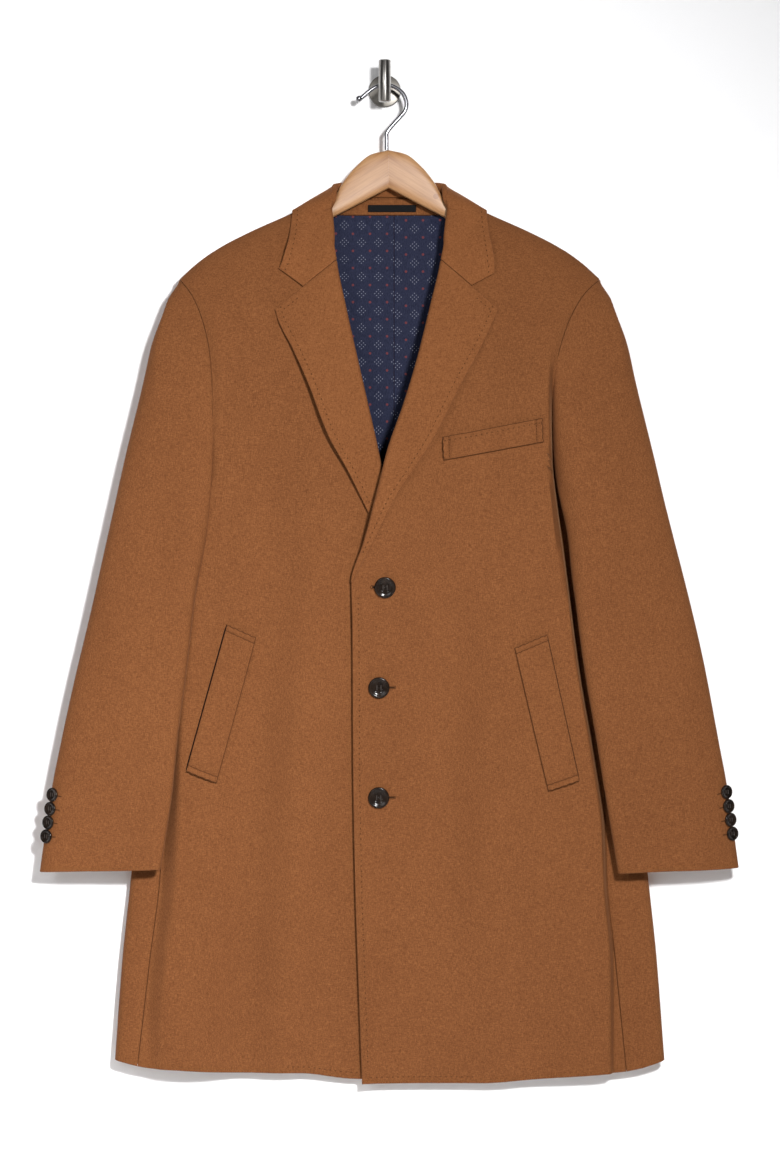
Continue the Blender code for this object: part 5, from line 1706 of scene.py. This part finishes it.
def wood_material():
    """Pale wood with a fine grain along each arm."""
    made, tree, shader = new_material("pale wood")
    place = put(tree, "ShaderNodeTexCoord", {}).outputs["Object"]
    x, y, z = put(tree, "ShaderNodeSeparateXYZ", {"Vector": place}).outputs
    out = number(tree, "ABSOLUTE", number(tree, "SUBTRACT", x, HANGER_X))
    mirrored = put(tree, "ShaderNodeCombineXYZ", {0: out, 1: y, 2: z}).outputs[0]
    lines = grain(tree, (0.06, 1, 1), 420, 3, (0, -ARM_LEAN, 0), mirrored)
    wide = grain(tree, (0.15, 1, 1), 90, 2, (0, -ARM_LEAN, 0), mirrored)
    shade = weighted(tree, (lines, 0.55), (wide, 0.45))
    colours = [(0.36, (0.28, 0.130, 0.050)), (0.52, (0.37, 0.190, 0.080)), (0.68, (0.43, 0.240, 0.110))]
    face_on = put(tree, "ShaderNodeCombineXYZ", {0: x, 2: z}).outputs[0]
    from_knot = put(tree, "ShaderNodeVectorMath", {0: face_on, 1: KNOT}, operation="DISTANCE")
    knot = number(tree, "LESS_THAN", from_knot.outputs["Value"], KNOT_RADIUS)
    share = number(tree, "MULTIPLY", knot, 0.5)
    colour = mixed_colour(tree, share, ramp(tree, shade, colours), (0.20, 0.075, 0.03))
    fill_in(tree, shader, {"Base Color": colour, "Roughness": 0.42})
    return made


def steel_material():
    """Brushed steel with fine marks across the peg."""
    made, tree, shader = new_material("brushed steel")
    marks = grain(tree, (1, 1, 0.08), 1500, 2)
    looks = {
        "Roughness": number(tree, "MULTIPLY_ADD", marks, 0.20, 0.22),
        "Tangent": put(tree, "ShaderNodeTangent", {}, direction_type="RADIAL", axis="Z").outputs[0],
        "Anisotropic": 0.75,
        "Anisotropic Rotation": 0.25,
        "Base Color": (0.30, 0.288, 0.270, 1),
        "Metallic": 1.0,
    }
    fill_in(tree, shader, looks)
    return made


def wall_material():
    """A white wall that is seen from the room only."""
    made, tree, shader = new_material("white wall")
    fill_in(tree, shader, {"Base Color": (0.93, 0.93, 0.94, 1), "Roughness": 1.0, "Specular IOR Level": 0.0})
    behind = put(tree, "ShaderNodeNewGeometry", {}).outputs["Backfacing"]
    clear = put(tree, "ShaderNodeBsdfTransparent", {})
    mixed = put(tree, "ShaderNodeMixShader", {0: behind, 1: shader.outputs[0], 2: clear.outputs[0]})
    tree.links.new(mixed.outputs[0], tree.nodes["Material Output"].inputs["Surface"])
    return made


# Stage, light and camera


def add_plane(name, corners, finish):
    mesh = bpy.data.meshes.new(name)
    mesh.from_pydata(corners, [], [(0, 1, 2, 3)])
    mesh.materials.append(finish)
    return add_object(name, mesh)


def add_stage():
    wide = ROOM_HALF_WIDE
    low = -FLOOR_DROP
    upright = [(-wide, 0, low), (wide, 0, low), (wide, 0, WALL_TOP), (-wide, 0, WALL_TOP)]
    wall = add_plane("wall", upright, wall_material())
    wall.visible_shadow = False
    flat = [(-wide, FLOOR_FRONT, low), (wide, FLOOR_FRONT, low)]
    flat += [(wide, FLOOR_BACK, low), (-wide, FLOOR_BACK, low)]
    floor = add_plane("floor", flat, plain_material("pale floor", (0.80, 0.79, 0.78), 0.9))


def add_light(lamp):
    """A round lamp, turned towards its aim."""
    light = bpy.data.lights.new(lamp.name, "AREA")
    light.shape = "DISK"
    light.size = lamp.size
    light.energy = lamp.power
    made = add_object(lamp.name, light)
    made.location = lamp.place
    way = np.array(lamp.aim) - np.array(lamp.place)
    made.rotation_euler = (math.atan2(math.hypot(way[0], way[1]), -way[2]), 0, math.atan2(-way[0], way[1]))
    return made


def add_lights():
    lamps = {lamp.name: add_light(lamp) for lamp in LAMPS}
    lamps["key"].data.spread = KEY_SPREAD
    studio = bpy.data.worlds.new("studio")
    studio.use_nodes = True
    glow = studio.node_tree.nodes["Background"]
    fill_in(studio.node_tree, glow, {"Color": (1, 1, 1, 1), "Strength": WORLD_LIGHT})
    bpy.context.scene.world = studio
    bpy.context.scene.view_settings.view_transform = "Standard"


def add_camera():
    lens = bpy.data.cameras.new("camera")
    lens.sensor_fit = "VERTICAL"
    lens.sensor_height = SENSOR
    lens.lens = LENS
    made = add_object("camera", lens)
    made.location = CAMERA
    made.rotation_euler = (math.radians(90), 0, 0)
    bpy.context.scene.camera = made


def keep(piece, node=None):
    """Ties a piece to the body, and hides the part's own node that it stands for."""
    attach(piece, "root")
    if node:
        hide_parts(node)


def add_cloth(finishes):
    """Every cloth piece, with its sewing."""
    grids = {**body_grids(), **sleeve_grids(), **lapel_grids(), **inside_grids(), **welt_grids()}
    grids["collar"] = collar_grid(COLLAR_STEPS, COLLAR_SHARES)
    for node, grid in grids.items():
        slot = "lining" if node.startswith("lining") else "loop" if node == "hang_loop" else "wool"
        thick = CLOTH if slot == "wool" else LINING
        finish = finishes.get(node.split("_")[0], finishes[slot])
        piece = add_wall("fine_" + node, grid, finish, thick)
        keep(piece, node)
    sewn = {
        "pick_stitches": (pick_stitches(grids), "thread"),
        "welt_stitches": (welt_stitches(grids), "thread"),
        "buttonhole_lips": (buttonholes() + cuff_holes(), "thread"),
        # The buttonhole slots, the pockets' mouths and the welts' seam lines are dark tubes of painted
        # shade.
        "buttonhole_slots": (buttonhole_slots(), "dark"),
        "welt_slots": (welt_slots(), "dark"),
        "welt_lines": (welt_lines(grids), "shade"),
    }
    for name, (meshes, finish) in sewn.items():
        keep(add_mesh(name, *joined(meshes), finishes[finish]))


def add_hard_parts(finishes):
    for node, (button, bars) in add_buttons(finishes["horn"], finishes["button thread"]).items():
        keep(button, node)
        keep(bars)
    for node, piece in add_hanger(finishes["wood"]).items():
        keep(piece, node)
    keep(add_hook(finishes["wire"]), "hanger_hook")
    for node, piece in add_wall_hook(finishes["steel"], finishes["plate"]).items():
        keep(piece, node)


def main():
    finishes = {
        "wool": wool_material("camel wool", 1.0),
        # The lapels and the collar take lighter copies of the wool: a painted sheen, as if their turned nap
        # caught more light.
        "lapel": wool_material("camel wool of the lapels", 1.08),
        "collar": wool_material("camel wool of the collar with painted sheen", 1.14),
        "lining": lining_material(),
        "loop": plain_material("black loop", (0.003, 0.003, 0.0035), 0.75, shine=0.12),
        "thread": plain_material("camel thread", (0.084, 0.031, 0.010), 0.9, shine=0.1),
        "shade": plain_material("seam shade", (0.075, 0.027, 0.009), 0.9, shine=0.1),
        "dark": plain_material("shaded slot", (0.010, 0.005, 0.003), 0.9, shine=0.1),
        "button thread": plain_material("dark thread", (0.020, 0.012, 0.008), 0.8),
        "horn": horn_material(),
        "wood": wood_material(),
        "wire": plain_material("bright wire", (0.22, 0.22, 0.235), 0.22, 1.0),
        "steel": steel_material(),
        "plate": plain_material("dull steel", (0.150, 0.140, 0.126), 0.38, 1.0),
    }
    add_cloth(finishes)
    add_hard_parts(finishes)
    add_stage()
    add_lights()
    add_camera()


main()
